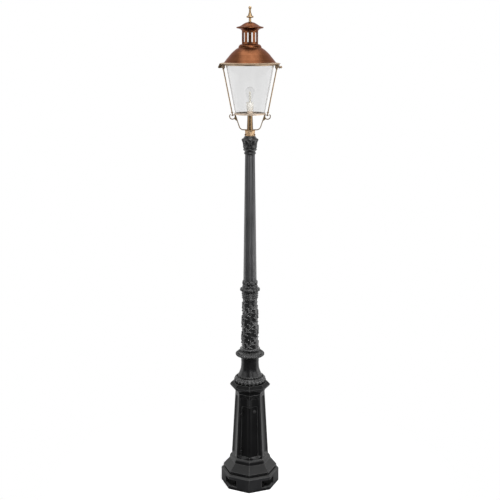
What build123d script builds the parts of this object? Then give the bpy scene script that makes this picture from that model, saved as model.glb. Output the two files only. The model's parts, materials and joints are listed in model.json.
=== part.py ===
"""Cast lamp post with a round copper and glass lantern, as the separate pieces it is made of.

Millimetres, +Z up, origin on the ground at the centre of the post. The post stands with a corner of
its octagonal base and its access door towards -Y. The lantern's roof hinge is at -X, its latch at +X.
"""
import os
from math import cos, degrees, hypot, pi, radians, sin, sqrt, tan

from build123d import *

os.makedirs("parts", exist_ok=True)

# Fits
moving_gap = 0.4
pin_clearance = 0.05
bolt_clearance = 0.2
casting_slip = 0.5

# Octagonal plinth with a window at every second corner
sides = 8
plinth_radius = 206.0
plinth_wall = 12.0
plinth_wall_height = 97.0
plinth_chamfer_inset = 14.0
plinth_chamfer_height = 9.0
groove_inset = 10.0
groove_height = 10.0
foot_plate = 16.0
plinth_flange = 12.0
plinth_flange_reach = 40.0
anchor_circle_radius = 150.0
anchor_hole_radius = 11.0
cable_hole_radius = 60.0
window_width = 113.0
window_height = 51.0
window_sill = 25.0

# Pedestal: sloping skirt, rounded bead and tapered body with scooped faces
skirt_overhang = 8.5
skirt_rim_height = 12.0
skirt_slope_height = 48.0
skirt_wall = 18.0
body_bottom_radius = 130.6
bead_reach = 15.4
bead_height = 33.0
body_top_radius = 103.0
body_height = 479.0
body_wall = 8.0
top_web = 15.0
top_web_hole_radius = 40.0
flange_thickness = 14.0
corner_band = 9.0
flute_depth = 9.0
flute_run_out = 18.0
flute_foot_margin = 5.0
flute_head_margin = 14.0

# Access door across the front corner
door_sill = 24.0
door_height = 366.0
door_edge_offset = 17.0
door_gap = 2.0
knuckle_radius = 7.0
knuckle_length = 18.0
knuckle_proud = 3.0
knuckle_margin = 26.0
hinge_pin_radius = 3.0
lock_barrel_radius = 8.0
lock_flange_radius = 10.5
lock_flange = 3.0
lock_triangle_radius = 4.5
lock_triangle_height = 4.0
lock_from_door_top = 34.0
lock_inset = 9.0
lock_tongue_length = 32.0
lock_tongue_width = 11.0
lock_tongue_thickness = 4.0
lock_tongue_gap = 6.0

# Gear board behind the door
board_width = 84.0
board_height = 300.0
board_thickness = 4.0
board_from_axis = 60.0
board_above_door_sill = 44.0
board_lug_width = 30.0
board_lug_height = 22.0
board_lug_spacing = 220.0
terminal_width = 60.0
terminal_height = 130.0
terminal_depth = 38.0
terminal_cover = 8.0
terminal_above_board = 110.0
terminal_corner = 4.0
gland_radius = 9.0
gland_length = 22.0
gland_bore_radius = 5.0
gland_spacing = 28.0
small_screw_radius = 2.0
small_screw_head_radius = 3.6
small_screw_head = 2.4
small_screw_length = 12.0
board_screw_radius = 3.0
board_screw_head_radius = 5.5
board_screw_head = 4.0
board_screw_length = 14.0
earth_stud_radius = 4.0
earth_stud_length = 24.0
earth_nut_radius = 7.5
earth_nut = 6.5
earth_above_board = 40.0
earth_from_middle = 28.0

# Bolts inside the base and at the core tube
base_bolt_radius = 5.0
base_bolt_head_radius = 9.0
base_bolt_head = 6.5
flange_bolt_radius = 6.0
flange_bolt_head_radius = 10.5
flange_bolt_head = 7.5
flange_bolt_circle = 60.0
bolt_count = 4

# Steel core tube that carries the castings
tube_radius = 24.15
tube_wall = 3.2
tube_flange_radius = 78.0
tube_flange = 10.0
tube_into_socket = 18.0

# Cornice, leaf ring, bell and disc
cornice_height = 75.0
cornice_reach = 37.6
cornice_tip_share = 0.62
cornice_cavity_radius = 86.0
cornice_cavity_height = 36.0
leaf_ring_height = 33.0
leaf_ring_reach = 23.5
leaf_ring_bulge_out = 0.85
leaf_ring_bulge_rise = 0.6
leaf_ring_bore = 60.0
bell_height = 142.0
bell_neck_radius = 60.6
bell_flare = 27.5
bell_wall = 14.0
disc_height = 73.0
disc_reach = 39.6
disc_tip_share = 0.36
disc_lip_share = 0.12
disc_lip_depth = 6.5
disc_slope_share = 0.84
disc_collar_step = 6.0
disc_bore = 45.0

# Column with relief, collar and fluted shaft
column_height = 355.0
column_bottom_radius = 61.5
column_top_radius = 52.0
column_swell = 2.4
column_bore = 42.0
collar_height = 135.0
collar_ring_count = 3
collar_ring_pitch = 14.0
collar_ring_proud = 5.9
collar_bead_proud = 15.9
collar_waist_inset = 0.6
collar_torus_proud = 4.4
collar_bead_foot = 0.12
collar_bead_middle = 0.3
collar_bead_head = 0.48
collar_waist_foot = 0.58
collar_waist_head = 0.72
collar_torus_middle = 0.84
collar_bore = 38.0
shaft_height = 858.0
shaft_bottom_radius = 45.4
shaft_top_radius = 32.7
shaft_bore = 26.0
shaft_flutes = 8
shaft_ridge_angle = 10.0
shaft_flute_depth = 5.0

# Capital
capital_height = 124.0
astragal_proud = 6.5
capital_neck_proud = 3.1
capital_bell_proud = 13.3
capital_lip_proud = 22.1
capital_top_proud = 2.6
astragal_middle_share = 0.09
astragal_top_share = 0.17
bell_foot_share = 0.28
bell_head_share = 0.45
lip_foot_share = 0.74
lip_head_share = 0.81
capital_slope_share = 0.97
notch_foot_share = 0.32
notch_length_share = 0.4
capital_leaves = 6
capital_notch_radius = 6.0

# Lantern socket, stem and yoke
socket_height = 37.0
socket_wall = 8.5
socket_bead = 2.0
socket_bead_share = 0.36
socket_cove_foot = 0.7
socket_cove_middle = 0.88
socket_cove_out = 0.3
socket_top_web = 12.0
socket_screw_count = 3
socket_screw_radius = 3.0
socket_screw_head_radius = 5.0
socket_screw_head = 4.0
stem_height = 103.0
stem_bottom_radius = 20.5
stem_top_radius = 16.6
stem_bore = 11.0
yoke_strap = 6.0
yoke_width = 10.0
yoke_flat_length = 42.6
yoke_bend_radius = 29.0
yoke_rise_angle = 70.0
eye_radius = 21.0
eye_centre_drop = 13.0
eye_gusset = 32.0
eye_gusset_angle = 235.0

# Gallery dish and glass
gallery_radius = 102.2
gallery_rim = 2.8
gallery_rim_height = 11.0
gallery_floor = 3.0
gallery_hub_height = 19.0
gallery_hub_foot_radius = 24.0
gallery_hub_radius = 18.5
gallery_vents = 6
gallery_vent_radius = 5.0
gallery_vent_circle = 62.0
glass_height = 310.5
glass_rim_gap = 0.8
glass_top_radius = 156.7
glass_wall = 4.0
gasket = 3.0
gasket_width = 7.0

# Top ring, lugs and tie rods
top_ring_sheet = 2.5
top_ring_collar_height = 5.0
top_ring_wall = 3.5
top_ring_glass_gap = 3.5
top_ring_lap = 11.0
lug_reach = 24.0
lug_width = 20.0
lug_height = 24.0
rod_radius = 4.0
rod_from_collar = 10.2
rod_below_eye = 12.0
rod_into_lug = 9.0
rod_nut_radius = 7.5
rod_nut = 6.5

# Lampholder and bulb
holder_height = 58.0
holder_foot_radius = 17.0
holder_radius = 23.5
holder_socket_radius = 14.6
holder_socket_depth = 36.0
holder_flank_rise = 0.25
holder_flank_out = 0.65
holder_shoulder_rise = 0.5
shell_wall = 0.6
nipple_radius = 5.0
nipple_bore = 3.5
nipple_into_holder = 12.0
nipple_into_stem = 16.0
nipple_nut_radius = 9.0
nipple_nut = 6.0
contact_radius = 4.0
contact_height = 2.5
bulb_cap_radius = 13.2
bulb_cap_wall = 0.6
bulb_cap_length = 30.0
bulb_tip_radius = 5.0
bulb_tip = 4.0
bulb_radius = 29.5
bulb_length = 98.0
bulb_neck_radius = 12.4
bulb_glass_wall = 1.0
bulb_flank_out = 0.38
bulb_flank_rise = 0.42
filament_radius = 9.0
filament_count = 4
filament_stick_radius = 1.0
filament_bottom = 22.0
filament_height = 44.0
filament_stem_radius = 3.5

# Roof
brim_reach = 29.2
brim_seat_width = 16.0
brim_depth = 9.0
brim_seat_depth = 2.0
brim_edge = 4.5
brim_sheet = 2.0
dome_height = 93.0
dome_beyond_glass = 11.7
dome_sheet = 2.5
chimney_collar_round = 22.4
chimney_collar_sheet = 2.5
chimney_radius = 52.5
chimney_sheet = 2.0
chimney_height = 81.5
chimney_slots = 12
slot_width = 11.0
slot_height = 62.0
slot_above_foot = 12.0
flare_height = 17.5
flare_reach = 31.0
cap_bulge = 4.0
cap_rim_height = 9.7
cap_height = 29.3
cap_sheet = 2.5
cap_hub_radius = 11.0
cap_flank_out = 0.55
cap_flank_rise = 0.36
finial_stem_radius = 8.0
finial_stem_height = 26.0
finial_foot_share = 0.2
finial_disc_radius = 22.9
finial_disc = 11.6
finial_disc_lip = 4.8
finial_cone_radius = 14.6
finial_cone_height = 29.0
finial_cone_bend_share = 0.7
finial_cone_bend_proud = 1.5
finial_neck_radius = 6.4
finial_neck_height = 13.6
finial_ball_radius = 10.2
stud_radius = 4.0
stud_into_finial = 45.0
bridge_width = 16.0
bridge_thickness = 4.0
bridge_below_top = 6.0
stud_nut_radius = 7.5
stud_nut = 6.5

# Roof hinge and latch
hinge_beyond_lug = 12.0
hinge_below_brim = 20.0
roof_knuckle_radius = 7.0
roof_knuckle_width = 12.0
roof_cheek_width = 8.0
roof_leaf_bridge = 4.0
roof_pin_radius = 3.0
roof_pin_head = 3.0
roof_pin_head_radius = 5.0
latch_gap = 0.8
hasp_thickness = 3.0
hasp_width = 20.0
hasp_below_stud = 12.0
latch_stud_radius = 3.0
latch_stud_into_lug = 7.0
latch_stud_height = 6.0
latch_stud_reach = 21.0
wing_hub_radius = 6.5
wing_hub_tip_radius = 5.0
wing_hub_length = 9.0
wing_span_radius = 14.0
wing_tip_share = 0.62
wing_tip_size = 0.38
wing_edge_out = 0.95
wing_edge_rise = 0.55
wing_inside_out = 0.35
wing_inside_rise = 0.8
wing_root_rise = 0.3
wing_length = 14.0
wing_thickness = 3.0
wing_turn = 25.0

# Heights of the joints between the castings
half_face = pi / sides
chamfer_top = plinth_wall_height + plinth_chamfer_height
plinth_top = chamfer_top + groove_height
rim_top = plinth_top + skirt_rim_height
bead_bottom = rim_top + skirt_slope_height
body_bottom = bead_bottom + bead_height
pedestal_top = body_bottom + body_height
cornice_top = pedestal_top + cornice_height
leaf_ring_top = cornice_top + leaf_ring_height
bell_top = leaf_ring_top + bell_height
disc_top = bell_top + disc_height
column_top = disc_top + column_height
collar_top = column_top + collar_height
shaft_top = collar_top + shaft_height
capital_top = shaft_top + capital_height
socket_top = capital_top + socket_height
stem_top = socket_top + stem_height

# Radii of the joints between the castings
groove_radius = plinth_radius - plinth_chamfer_inset - groove_inset
skirt_radius = groove_radius + skirt_overhang
bead_radius = body_bottom_radius + bead_reach
cornice_tip_radius = body_top_radius + cornice_reach
bell_foot_radius = bell_neck_radius + bell_flare
leaf_ring_radius = bell_foot_radius + leaf_ring_reach
disc_radius = bell_neck_radius + disc_reach
disc_collar_radius = column_bottom_radius + disc_collar_step
socket_waist_radius = tube_radius + socket_wall
socket_radius = socket_waist_radius + socket_bead

# Glass, top ring and roof, each from the glass it sits on
gallery_bottom = stem_top
gallery_top = gallery_bottom + gallery_floor
glass_bottom = gallery_top + gasket
glass_top = glass_bottom + glass_height
ring_bottom = glass_top + gasket
ring_top = ring_bottom + top_ring_sheet
collar_inner = glass_top_radius + top_ring_glass_gap
collar_outer = collar_inner + top_ring_wall
lug_end_x = collar_outer + lug_reach
lug_bottom = ring_top - lug_height
dome_foot_radius = glass_top_radius + dome_beyond_glass
dome_top_radius = chimney_radius + chimney_collar_round
brim_radius = dome_foot_radius + brim_reach
flare_radius = chimney_radius + flare_reach
cap_radius = flare_radius + cap_bulge
hinge_from_axis = lug_end_x + hinge_beyond_lug


def finish(piece, label):
    """Name a finished piece and write it."""
    piece.part.label = label
    export_step(piece.part, f"parts/{label}.step")


def octagon_stack(levels):
    """Octagonal solid through (height, corner radius) levels."""
    with BuildPart() as stack:
        for height, radius in levels:
            with BuildSketch(Plane.XY.offset(height)):
                RegularPolygon(radius, sides)
        loft(ruled=True)
    return stack.part


def turned(outline):
    """Solid of revolution of a closed outline of (radius, height) corners."""
    with BuildPart() as piece:
        with BuildSketch(Plane.XZ):
            with BuildLine():
                Polyline(*outline, close=True)
            make_face()
        revolve(axis=Axis.Z)
    return piece.part


def spun(outer, inner):
    """Revolved wall between two smooth (radius, height) curves that run from bottom to top."""
    with BuildPart() as piece:
        with BuildSketch(Plane.XZ):
            with BuildLine():
                Spline(*outer)
                Line(outer[-1], inner[-1])
                Spline(*inner)
                Line(inner[0], outer[0])
            make_face()
        revolve(axis=Axis.Z)
    return piece.part


def wall_inside(points, thickness):
    """A steep curve moved inwards by a wall thickness, at the same heights."""
    inner = []
    for index, (radius, height) in enumerate(points):
        before = points[max(index - 1, 0)]
        after = points[min(index + 1, len(points) - 1)]
        slope = hypot(after[0] - before[0], after[1] - before[1]) / (after[1] - before[1])
        inner.append((radius - thickness * slope, height))
    return inner


def rod_between(start, end, radius):
    """Round bar between two points."""
    line = Vector(*end) - Vector(*start)
    with BuildPart() as bar:
        with BuildSketch(Plane(origin=start, z_dir=line)):
            Circle(radius)
        extrude(amount=line.length)
    return bar.part


def body_radius(height):
    """Corner radius of the tapered pedestal body at a height."""
    share = (height - body_bottom) / body_height
    return body_bottom_radius + share * (body_top_radius - body_bottom_radius)


def flute_circle(height):
    """Radius of the scoop in a pedestal face at a height."""
    half_chord = body_radius(height) * sin(half_face) - corner_band
    return (half_chord**2 + flute_depth**2) / (2 * flute_depth)


def scooped_face(height, offset):
    """Distance of a scooped face from the axis, at an offset from the middle of the face."""
    scoop = flute_circle(height)
    apothem = body_radius(height) * cos(half_face)
    return apothem - flute_depth + scoop - sqrt(scoop**2 - offset**2)


def inner_corner(height):
    """Corner radius of the hollow inside the pedestal body at a height."""
    return body_radius(height) - (flute_depth + body_wall) / cos(half_face)


def face_flute(index):
    """Cutter for the scoop in one pedestal face, which runs out at both ends."""
    angle = half_face * (2 * index + 1)
    foot = body_bottom + flute_foot_margin
    head = pedestal_top - flute_head_margin
    stations = (
        (foot, 0.0),
        (foot + flute_run_out, flute_depth),
        (head - flute_run_out, flute_depth),
        (head, 0.0),
    )
    with BuildPart() as cutter:
        for height, depth in stations:
            scoop = flute_circle(height)
            reach = body_radius(height) * cos(half_face) + scoop - depth
            with BuildSketch(Plane.XY.offset(height)):
                with Locations((reach * cos(angle), reach * sin(angle))):
                    Circle(scoop)
        loft(ruled=True)
    return cutter.part


# Base plinth
plinth_outer = octagon_stack(
    [
        (0.0, plinth_radius),
        (plinth_wall_height, plinth_radius),
        (chamfer_top, plinth_radius - plinth_chamfer_inset),
    ]
)
plinth_flange_bottom = plinth_top - plinth_flange
plinth_flange_radius = groove_radius - plinth_flange_reach
plinth_hollow = octagon_stack(
    [
        (foot_plate, plinth_radius - plinth_wall),
        (window_sill + window_height, plinth_radius - plinth_wall),
        (plinth_flange_bottom, plinth_flange_radius),
        (plinth_top, plinth_flange_radius),
    ]
)
base_bolt_circle = plinth_flange_radius * cos(half_face) + base_bolt_head_radius + 2 * bolt_clearance

with BuildPart() as base_plinth:
    add(plinth_outer)
    with BuildSketch(Plane.XY.offset(chamfer_top)):
        RegularPolygon(groove_radius, sides)
    extrude(amount=groove_height)
    add(plinth_hollow, mode=Mode.SUBTRACT)
    with Locations((0, 0, window_sill)):
        with PolarLocations(anchor_circle_radius, 4, start_angle=45):
            Box(
                plinth_radius,
                window_width,
                window_height,
                align=(Align.MIN, Align.CENTER, Align.MIN),
                mode=Mode.SUBTRACT,
            )
    with Locations((0, 0, foot_plate)):
        with PolarLocations(anchor_circle_radius, 4, start_angle=45):
            Hole(anchor_hole_radius, depth=foot_plate)
        Hole(cable_hole_radius, depth=foot_plate)
    with Locations((0, 0, plinth_top)):
        with PolarLocations(base_bolt_circle, sides, start_angle=degrees(half_face)):
            Hole(base_bolt_radius + bolt_clearance, depth=plinth_flange)
finish(base_plinth, "base_plinth")

# Pedestal shell, before the door is cut out of it
bead_steps = 4
bead_levels = []
for step in range(bead_steps + 1):
    turn = pi / 2 * step / bead_steps
    bead_levels.append(
        (
            bead_bottom + bead_height * sin(turn),
            body_bottom_radius + (bead_radius - body_bottom_radius) * cos(turn),
        )
    )
pedestal_outer = octagon_stack(
    [(plinth_top, skirt_radius), (rim_top, skirt_radius)] + bead_levels + [(pedestal_top, body_top_radius)]
)
pedestal_flange_top = plinth_top + flange_thickness
web_bottom = pedestal_top - top_web
hollow_foot = body_bottom + flute_foot_margin
pedestal_hollow = octagon_stack(
    [
        (pedestal_flange_top, skirt_radius - skirt_wall),
        (bead_bottom, bead_radius - skirt_wall),
        (hollow_foot, inner_corner(hollow_foot)),
        (web_bottom, inner_corner(web_bottom)),
    ]
)
with BuildPart() as pedestal_shell:
    add(pedestal_outer)
    for face in range(sides):
        add(face_flute(face), mode=Mode.SUBTRACT)
    add(pedestal_hollow, mode=Mode.SUBTRACT)
    with BuildSketch(Plane.XY.offset(plinth_top)):
        RegularPolygon(plinth_flange_radius, sides)
    extrude(amount=flange_thickness, mode=Mode.SUBTRACT)
    with Locations((0, 0, pedestal_top)):
        Hole(top_web_hole_radius, depth=top_web)
        with PolarLocations(flange_bolt_circle, bolt_count, start_angle=45):
            Hole(flange_bolt_radius + bolt_clearance, depth=top_web)
    with Locations((0, 0, pedestal_flange_top)):
        with PolarLocations(base_bolt_circle, sides, start_angle=degrees(half_face)):
            Hole(base_bolt_radius + bolt_clearance, depth=flange_thickness)

# Door outline, hinge axis and knuckles
door_bottom = body_bottom + door_sill
door_top = door_bottom + door_height


def door_edge_point(height, proud):
    """Point on the left door edge at a height, a given distance in front of the scooped face."""
    reach = scooped_face(height, door_edge_offset) + proud
    across = reach * sin(half_face) + door_edge_offset * cos(half_face)
    along = reach * cos(half_face) - door_edge_offset * sin(half_face)
    return (-across, -along, height)


def door_prism(grow):
    """Slab through the front of the pedestal with the door's tapered outline, grown on every side."""
    bottom_half = -door_edge_point(door_bottom, 0.0)[0] + grow
    top_half = -door_edge_point(door_top, 0.0)[0] + grow
    slab_back = inner_corner(door_top) * cos(2 * half_face)
    with BuildPart() as slab:
        with BuildSketch(Plane.XZ.offset(slab_back)):
            with BuildLine():
                Polyline(
                    (-bottom_half, door_bottom - grow),
                    (bottom_half, door_bottom - grow),
                    (top_half, door_top + grow),
                    (-top_half, door_top + grow),
                    close=True,
                )
            make_face()
        extrude(amount=bead_radius)
    return slab.part


axis_low = Vector(*door_edge_point(door_bottom, knuckle_proud))
axis_high = Vector(*door_edge_point(door_top, knuckle_proud))
axis_line = (axis_high - axis_low).normalized()
hinge_low = axis_low + axis_line * (knuckle_margin + knuckle_length)
hinge_high = axis_high - axis_line * (knuckle_margin + knuckle_length)
hinge_centres = (hinge_low, hinge_high)


def hinge_barrels(start, end, radius):
    """Round bars along the door's hinge line, one at each hinge, from start to end about its middle."""
    bars = [rod_between(mid + axis_line * start, mid + axis_line * end, radius) for mid in hinge_centres]
    return bars


knuckle_start = moving_gap / 2
knuckle_end = knuckle_length
pocket_radius = knuckle_radius + 2 * moving_gap
pocket_end = knuckle_end + 2 * moving_gap
pin_end = knuckle_end - hinge_pin_radius

# Lock seat on the right half of the door
lock_height = door_top - lock_from_door_top
lock_angle = -pi / 2 + half_face
lock_normal = Vector(cos(lock_angle), sin(lock_angle), 0)
lock_tangent = Vector(-sin(lock_angle), cos(lock_angle), 0)
lock_offset = door_edge_offset - lock_inset - lock_flange_radius
lock_face = scooped_face(lock_height, lock_flange_radius + abs(lock_offset))
lock_foot = lock_normal * lock_face + lock_tangent * lock_offset + Vector(0, 0, lock_height)
lock_plane = Plane(origin=lock_foot, x_dir=lock_tangent, z_dir=lock_normal)
lock_inner_depth = lock_face - inner_corner(lock_height) * cos(half_face) + lock_tongue_gap
lock_hole_radius = lock_barrel_radius + moving_gap

with BuildPart() as access_door:
    add(pedestal_shell.part)
    add(door_prism(-door_gap / 2), mode=Mode.INTERSECT)
    for pocket in hinge_barrels(-pocket_end, moving_gap / 2, pocket_radius):
        add(pocket, mode=Mode.SUBTRACT)
    for knuckle in hinge_barrels(knuckle_start, knuckle_end, knuckle_radius):
        add(knuckle)
    for bore in hinge_barrels(-pocket_end, pocket_end, hinge_pin_radius + pin_clearance):
        add(bore, mode=Mode.SUBTRACT)
    with BuildSketch(lock_plane):
        Circle(lock_hole_radius)
    extrude(amount=lock_inner_depth, both=True, mode=Mode.SUBTRACT)
finish(access_door, "access_door")

# Pedestal with the door opening, the fixed knuckles and the lugs for the gear board
board_bottom = door_bottom + board_above_door_sill
board_back = board_from_axis + board_thickness
lug_middle = board_bottom + board_height / 2
lug_heights = (lug_middle - board_lug_spacing / 2, lug_middle + board_lug_spacing / 2)
board_screw_offset = board_lug_width / 4

with BuildPart() as pedestal:
    add(pedestal_shell.part)
    add(door_prism(door_gap / 2), mode=Mode.SUBTRACT)
    for pocket in hinge_barrels(-moving_gap / 2, pocket_end, pocket_radius):
        add(pocket, mode=Mode.SUBTRACT)
    for knuckle in hinge_barrels(-knuckle_end, -knuckle_start, knuckle_radius):
        add(knuckle)
    for bore in hinge_barrels(-pocket_end, pocket_end, hinge_pin_radius + pin_clearance):
        add(bore, mode=Mode.SUBTRACT)
    for height in lug_heights:
        lug_root = inner_corner(height - board_lug_height / 2) + body_wall / 2
        with Locations((0, board_back, height)):
            Box(
                board_lug_width,
                lug_root - board_back,
                board_lug_height,
                align=(Align.CENTER, Align.MIN, Align.CENTER),
            )
    with BuildSketch(Plane.XZ.offset(-board_back)):
        for height in lug_heights:
            with Locations((-board_screw_offset, height), (board_screw_offset, height)):
                Circle(board_screw_radius + bolt_clearance)
    extrude(amount=-board_screw_length, mode=Mode.SUBTRACT)
finish(pedestal, "pedestal")

with BuildPart() as door_hinge_pins:
    for pin in hinge_barrels(-knuckle_end, pin_end, hinge_pin_radius):
        add(pin)
finish(door_hinge_pins, "door_hinge_pins")

# Door lock: flanged barrel with a triangular head outside and a tongue inside
tongue_plane = lock_plane.offset(-lock_inner_depth)
with BuildPart() as door_lock:
    with BuildSketch(lock_plane.offset(moving_gap)):
        Circle(lock_flange_radius)
    extrude(amount=lock_flange)
    with BuildSketch(lock_plane.offset(moving_gap + lock_flange)):
        RegularPolygon(lock_triangle_radius, 3)
    extrude(amount=lock_triangle_height)
    with BuildSketch(tongue_plane):
        Circle(lock_barrel_radius)
    extrude(amount=lock_inner_depth + moving_gap)
    with BuildSketch(tongue_plane):
        with Locations((0, (lock_tongue_width - lock_tongue_length) / 2)):
            SlotOverall(lock_tongue_length, lock_tongue_width, rotation=90)
    extrude(amount=-lock_tongue_thickness)
finish(door_lock, "door_lock")

with BuildPart() as base_bolts:
    with PolarLocations(base_bolt_circle, sides, start_angle=degrees(half_face)):
        with Locations((0, 0, pedestal_flange_top)):
            Cylinder(
                base_bolt_radius,
                flange_thickness + plinth_flange,
                align=(Align.CENTER, Align.CENTER, Align.MAX),
            )
    with BuildSketch(Plane.XY.offset(pedestal_flange_top)):
        with PolarLocations(base_bolt_circle, sides, start_angle=degrees(half_face)):
            RegularPolygon(base_bolt_head_radius, 6)
    extrude(amount=base_bolt_head)
finish(base_bolts, "base_bolts")

# Gear board, terminal box, glands and earth stud
board_front = Plane.XZ.offset(-board_from_axis)
terminal_bottom = board_bottom + terminal_above_board
terminal_middle = terminal_bottom + terminal_height / 2
cover_plane = board_front.offset(terminal_depth)
screw_x = terminal_width / 2 - 2 * small_screw_head_radius
screw_z = terminal_height / 2 - 2 * small_screw_head_radius
cover_screw_points = [
    (x, terminal_middle + z) for x in (-screw_x, screw_x) for z in (-screw_z, screw_z)
]
board_screw_points = [
    (x, height) for x in (-board_screw_offset, board_screw_offset) for height in lug_heights
]
earth_point = (earth_from_middle, board_bottom + earth_above_board)

with BuildPart() as gear_board:
    with BuildSketch(board_front):
        with Locations((0, board_bottom + board_height / 2)):
            Rectangle(board_width, board_height)
        with Locations(*board_screw_points):
            Circle(board_screw_radius + bolt_clearance, mode=Mode.SUBTRACT)
        with Locations(earth_point):
            Circle(earth_stud_radius + bolt_clearance, mode=Mode.SUBTRACT)
    extrude(amount=-board_thickness)
    fillet(gear_board.edges().filter_by(Axis.Y).group_by(Axis.Z)[0], terminal_corner)
    fillet(gear_board.edges().filter_by(Axis.Y).group_by(Axis.Z)[-1], terminal_corner)
finish(gear_board, "gear_board")

with BuildPart() as board_screws:
    with BuildSketch(board_front):
        with Locations(*board_screw_points):
            Circle(board_screw_head_radius)
    extrude(amount=board_screw_head)
    with BuildSketch(board_front):
        with Locations(*board_screw_points):
            Circle(board_screw_radius)
    extrude(amount=-board_screw_length)
finish(board_screws, "board_screws")

with BuildPart() as terminal_box:
    with BuildSketch(board_front):
        with Locations((0, terminal_middle)):
            RectangleRounded(terminal_width, terminal_height, terminal_corner)
    extrude(amount=terminal_depth)
    with BuildSketch(cover_plane):
        with Locations(*cover_screw_points):
            Circle(small_screw_radius + bolt_clearance)
    extrude(amount=-small_screw_length, mode=Mode.SUBTRACT)
finish(terminal_box, "terminal_box")

with BuildPart() as terminal_cover_plate:
    with BuildSketch(cover_plane):
        with Locations((0, terminal_middle)):
            RectangleRounded(terminal_width, terminal_height, terminal_corner)
        with Locations(*cover_screw_points):
            Circle(small_screw_radius + bolt_clearance, mode=Mode.SUBTRACT)
    extrude(amount=terminal_cover)
    front_edges = terminal_cover_plate.faces().sort_by(Axis.Y)[0].outer_wire().edges()
    chamfer(front_edges, terminal_corner / 2)
finish(terminal_cover_plate, "terminal_cover")

with BuildPart() as cover_screws:
    with BuildSketch(cover_plane.offset(terminal_cover)):
        with Locations(*cover_screw_points):
            Circle(small_screw_head_radius)
    extrude(amount=small_screw_head)
    with BuildSketch(cover_plane.offset(terminal_cover)):
        with Locations(*cover_screw_points):
            Circle(small_screw_radius)
    extrude(amount=-small_screw_length)
finish(cover_screws, "cover_screws")

gland_y = board_from_axis - terminal_depth / 2
with BuildPart() as cable_glands:
    for x in (-gland_spacing / 2, gland_spacing / 2):
        with BuildSketch(Plane.XY.offset(terminal_bottom)):
            with Locations((x, gland_y)):
                RegularPolygon(gland_radius, 6)
                Circle(gland_bore_radius, mode=Mode.SUBTRACT)
        extrude(amount=-gland_length / 2)
        with BuildSketch(Plane.XY.offset(terminal_bottom - gland_length / 2)):
            with Locations((x, gland_y)):
                Circle(gland_radius * cos(pi / 6))
                Circle(gland_bore_radius, mode=Mode.SUBTRACT)
        extrude(amount=-gland_length / 2, taper=8)
finish(cable_glands, "cable_glands")

with BuildPart() as earth_stud:
    with BuildSketch(board_front.offset(-board_thickness)):
        with Locations(earth_point):
            Circle(earth_stud_radius)
    extrude(amount=earth_stud_length)
    with BuildSketch(board_front):
        with Locations(earth_point):
            RegularPolygon(earth_nut_radius, 6)
    extrude(amount=earth_nut)
finish(earth_stud, "earth_stud")

# Core tube with its foot flange, and the bolts that hold it to the pedestal
tube_top = capital_top + tube_into_socket
flange_top = pedestal_top + tube_flange
with BuildPart() as core_tube:
    add(
        turned(
            [
                (tube_radius - tube_wall, pedestal_top),
                (tube_flange_radius, pedestal_top),
                (tube_flange_radius, flange_top),
                (tube_radius, flange_top),
                (tube_radius, tube_top),
                (tube_radius - tube_wall, tube_top),
            ]
        )
    )
    with Locations((0, 0, flange_top)):
        with PolarLocations(flange_bolt_circle, bolt_count, start_angle=45):
            Hole(flange_bolt_radius + bolt_clearance, depth=tube_flange)
finish(core_tube, "core_tube")

with BuildPart() as flange_bolts:
    with PolarLocations(flange_bolt_circle, bolt_count, start_angle=45):
        with Locations((0, 0, flange_top)):
            Cylinder(
                flange_bolt_radius,
                tube_flange + top_web,
                align=(Align.CENTER, Align.CENTER, Align.MAX),
            )
    with BuildSketch(Plane.XY.offset(flange_top)):
        with PolarLocations(flange_bolt_circle, bolt_count, start_angle=45):
            RegularPolygon(flange_bolt_head_radius, 6)
    extrude(amount=flange_bolt_head)
finish(flange_bolts, "flange_bolts")

# Cornice: hollow moulding out to a sharp corner, then back in to the leaf ring
cornice_head_radius = leaf_ring_radius / cos(half_face)
cornice_under = ((0.0, 0.0), (0.2, 0.17), (0.32, 0.36), (0.42, 0.66), (0.52, 0.86), (cornice_tip_share, 1.0))
cornice_over = ((0.72, 0.96), (0.84, 0.62), (1.0, 0.0))
cornice_levels = [
    (pedestal_top + rise * cornice_height, body_top_radius + out * cornice_reach)
    for rise, out in cornice_under
]
cornice_levels += [
    (
        pedestal_top + rise * cornice_height,
        cornice_head_radius + out * (cornice_tip_radius - cornice_head_radius),
    )
    for rise, out in cornice_over
]
with BuildPart() as cornice:
    add(octagon_stack(cornice_levels))
    with Locations((0, 0, pedestal_top)):
        Cylinder(
            cornice_cavity_radius,
            cornice_cavity_height,
            align=(Align.CENTER, Align.CENTER, Align.MIN),
            mode=Mode.SUBTRACT,
        )
    with Locations((0, 0, cornice_top)):
        Hole(tube_radius + casting_slip, depth=cornice_height)
finish(cornice, "cornice")

# Leaf ring: a fat half-round moulding that turns in under the bell
with BuildPart() as leaf_ring:
    with BuildSketch(Plane.XZ):
        with BuildLine():
            Polyline(
                (bell_foot_radius, leaf_ring_top),
                (leaf_ring_bore, leaf_ring_top),
                (leaf_ring_bore, cornice_top),
                (leaf_ring_radius, cornice_top),
            )
            ThreePointArc(
                (leaf_ring_radius, cornice_top),
                (
                    bell_foot_radius + leaf_ring_bulge_out * leaf_ring_reach,
                    cornice_top + leaf_ring_bulge_rise * leaf_ring_height,
                ),
                (bell_foot_radius, leaf_ring_top),
            )
        make_face()
    revolve(axis=Axis.Z)
finish(leaf_ring, "leaf_ring")

# Bell-shaped neck
bell_shape = ((0.0, 1.0), (0.1, 0.78), (0.25, 0.46), (0.4, 0.2), (0.55, 0.06), (0.75, 0.0), (1.0, 0.0))
bell_curve = [
    (bell_neck_radius + out * bell_flare, leaf_ring_top + rise * bell_height) for rise, out in bell_shape
]
with BuildPart() as neck_bell:
    add(spun(bell_curve, wall_inside(bell_curve, bell_wall)))
finish(neck_bell, "neck_bell")

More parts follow.
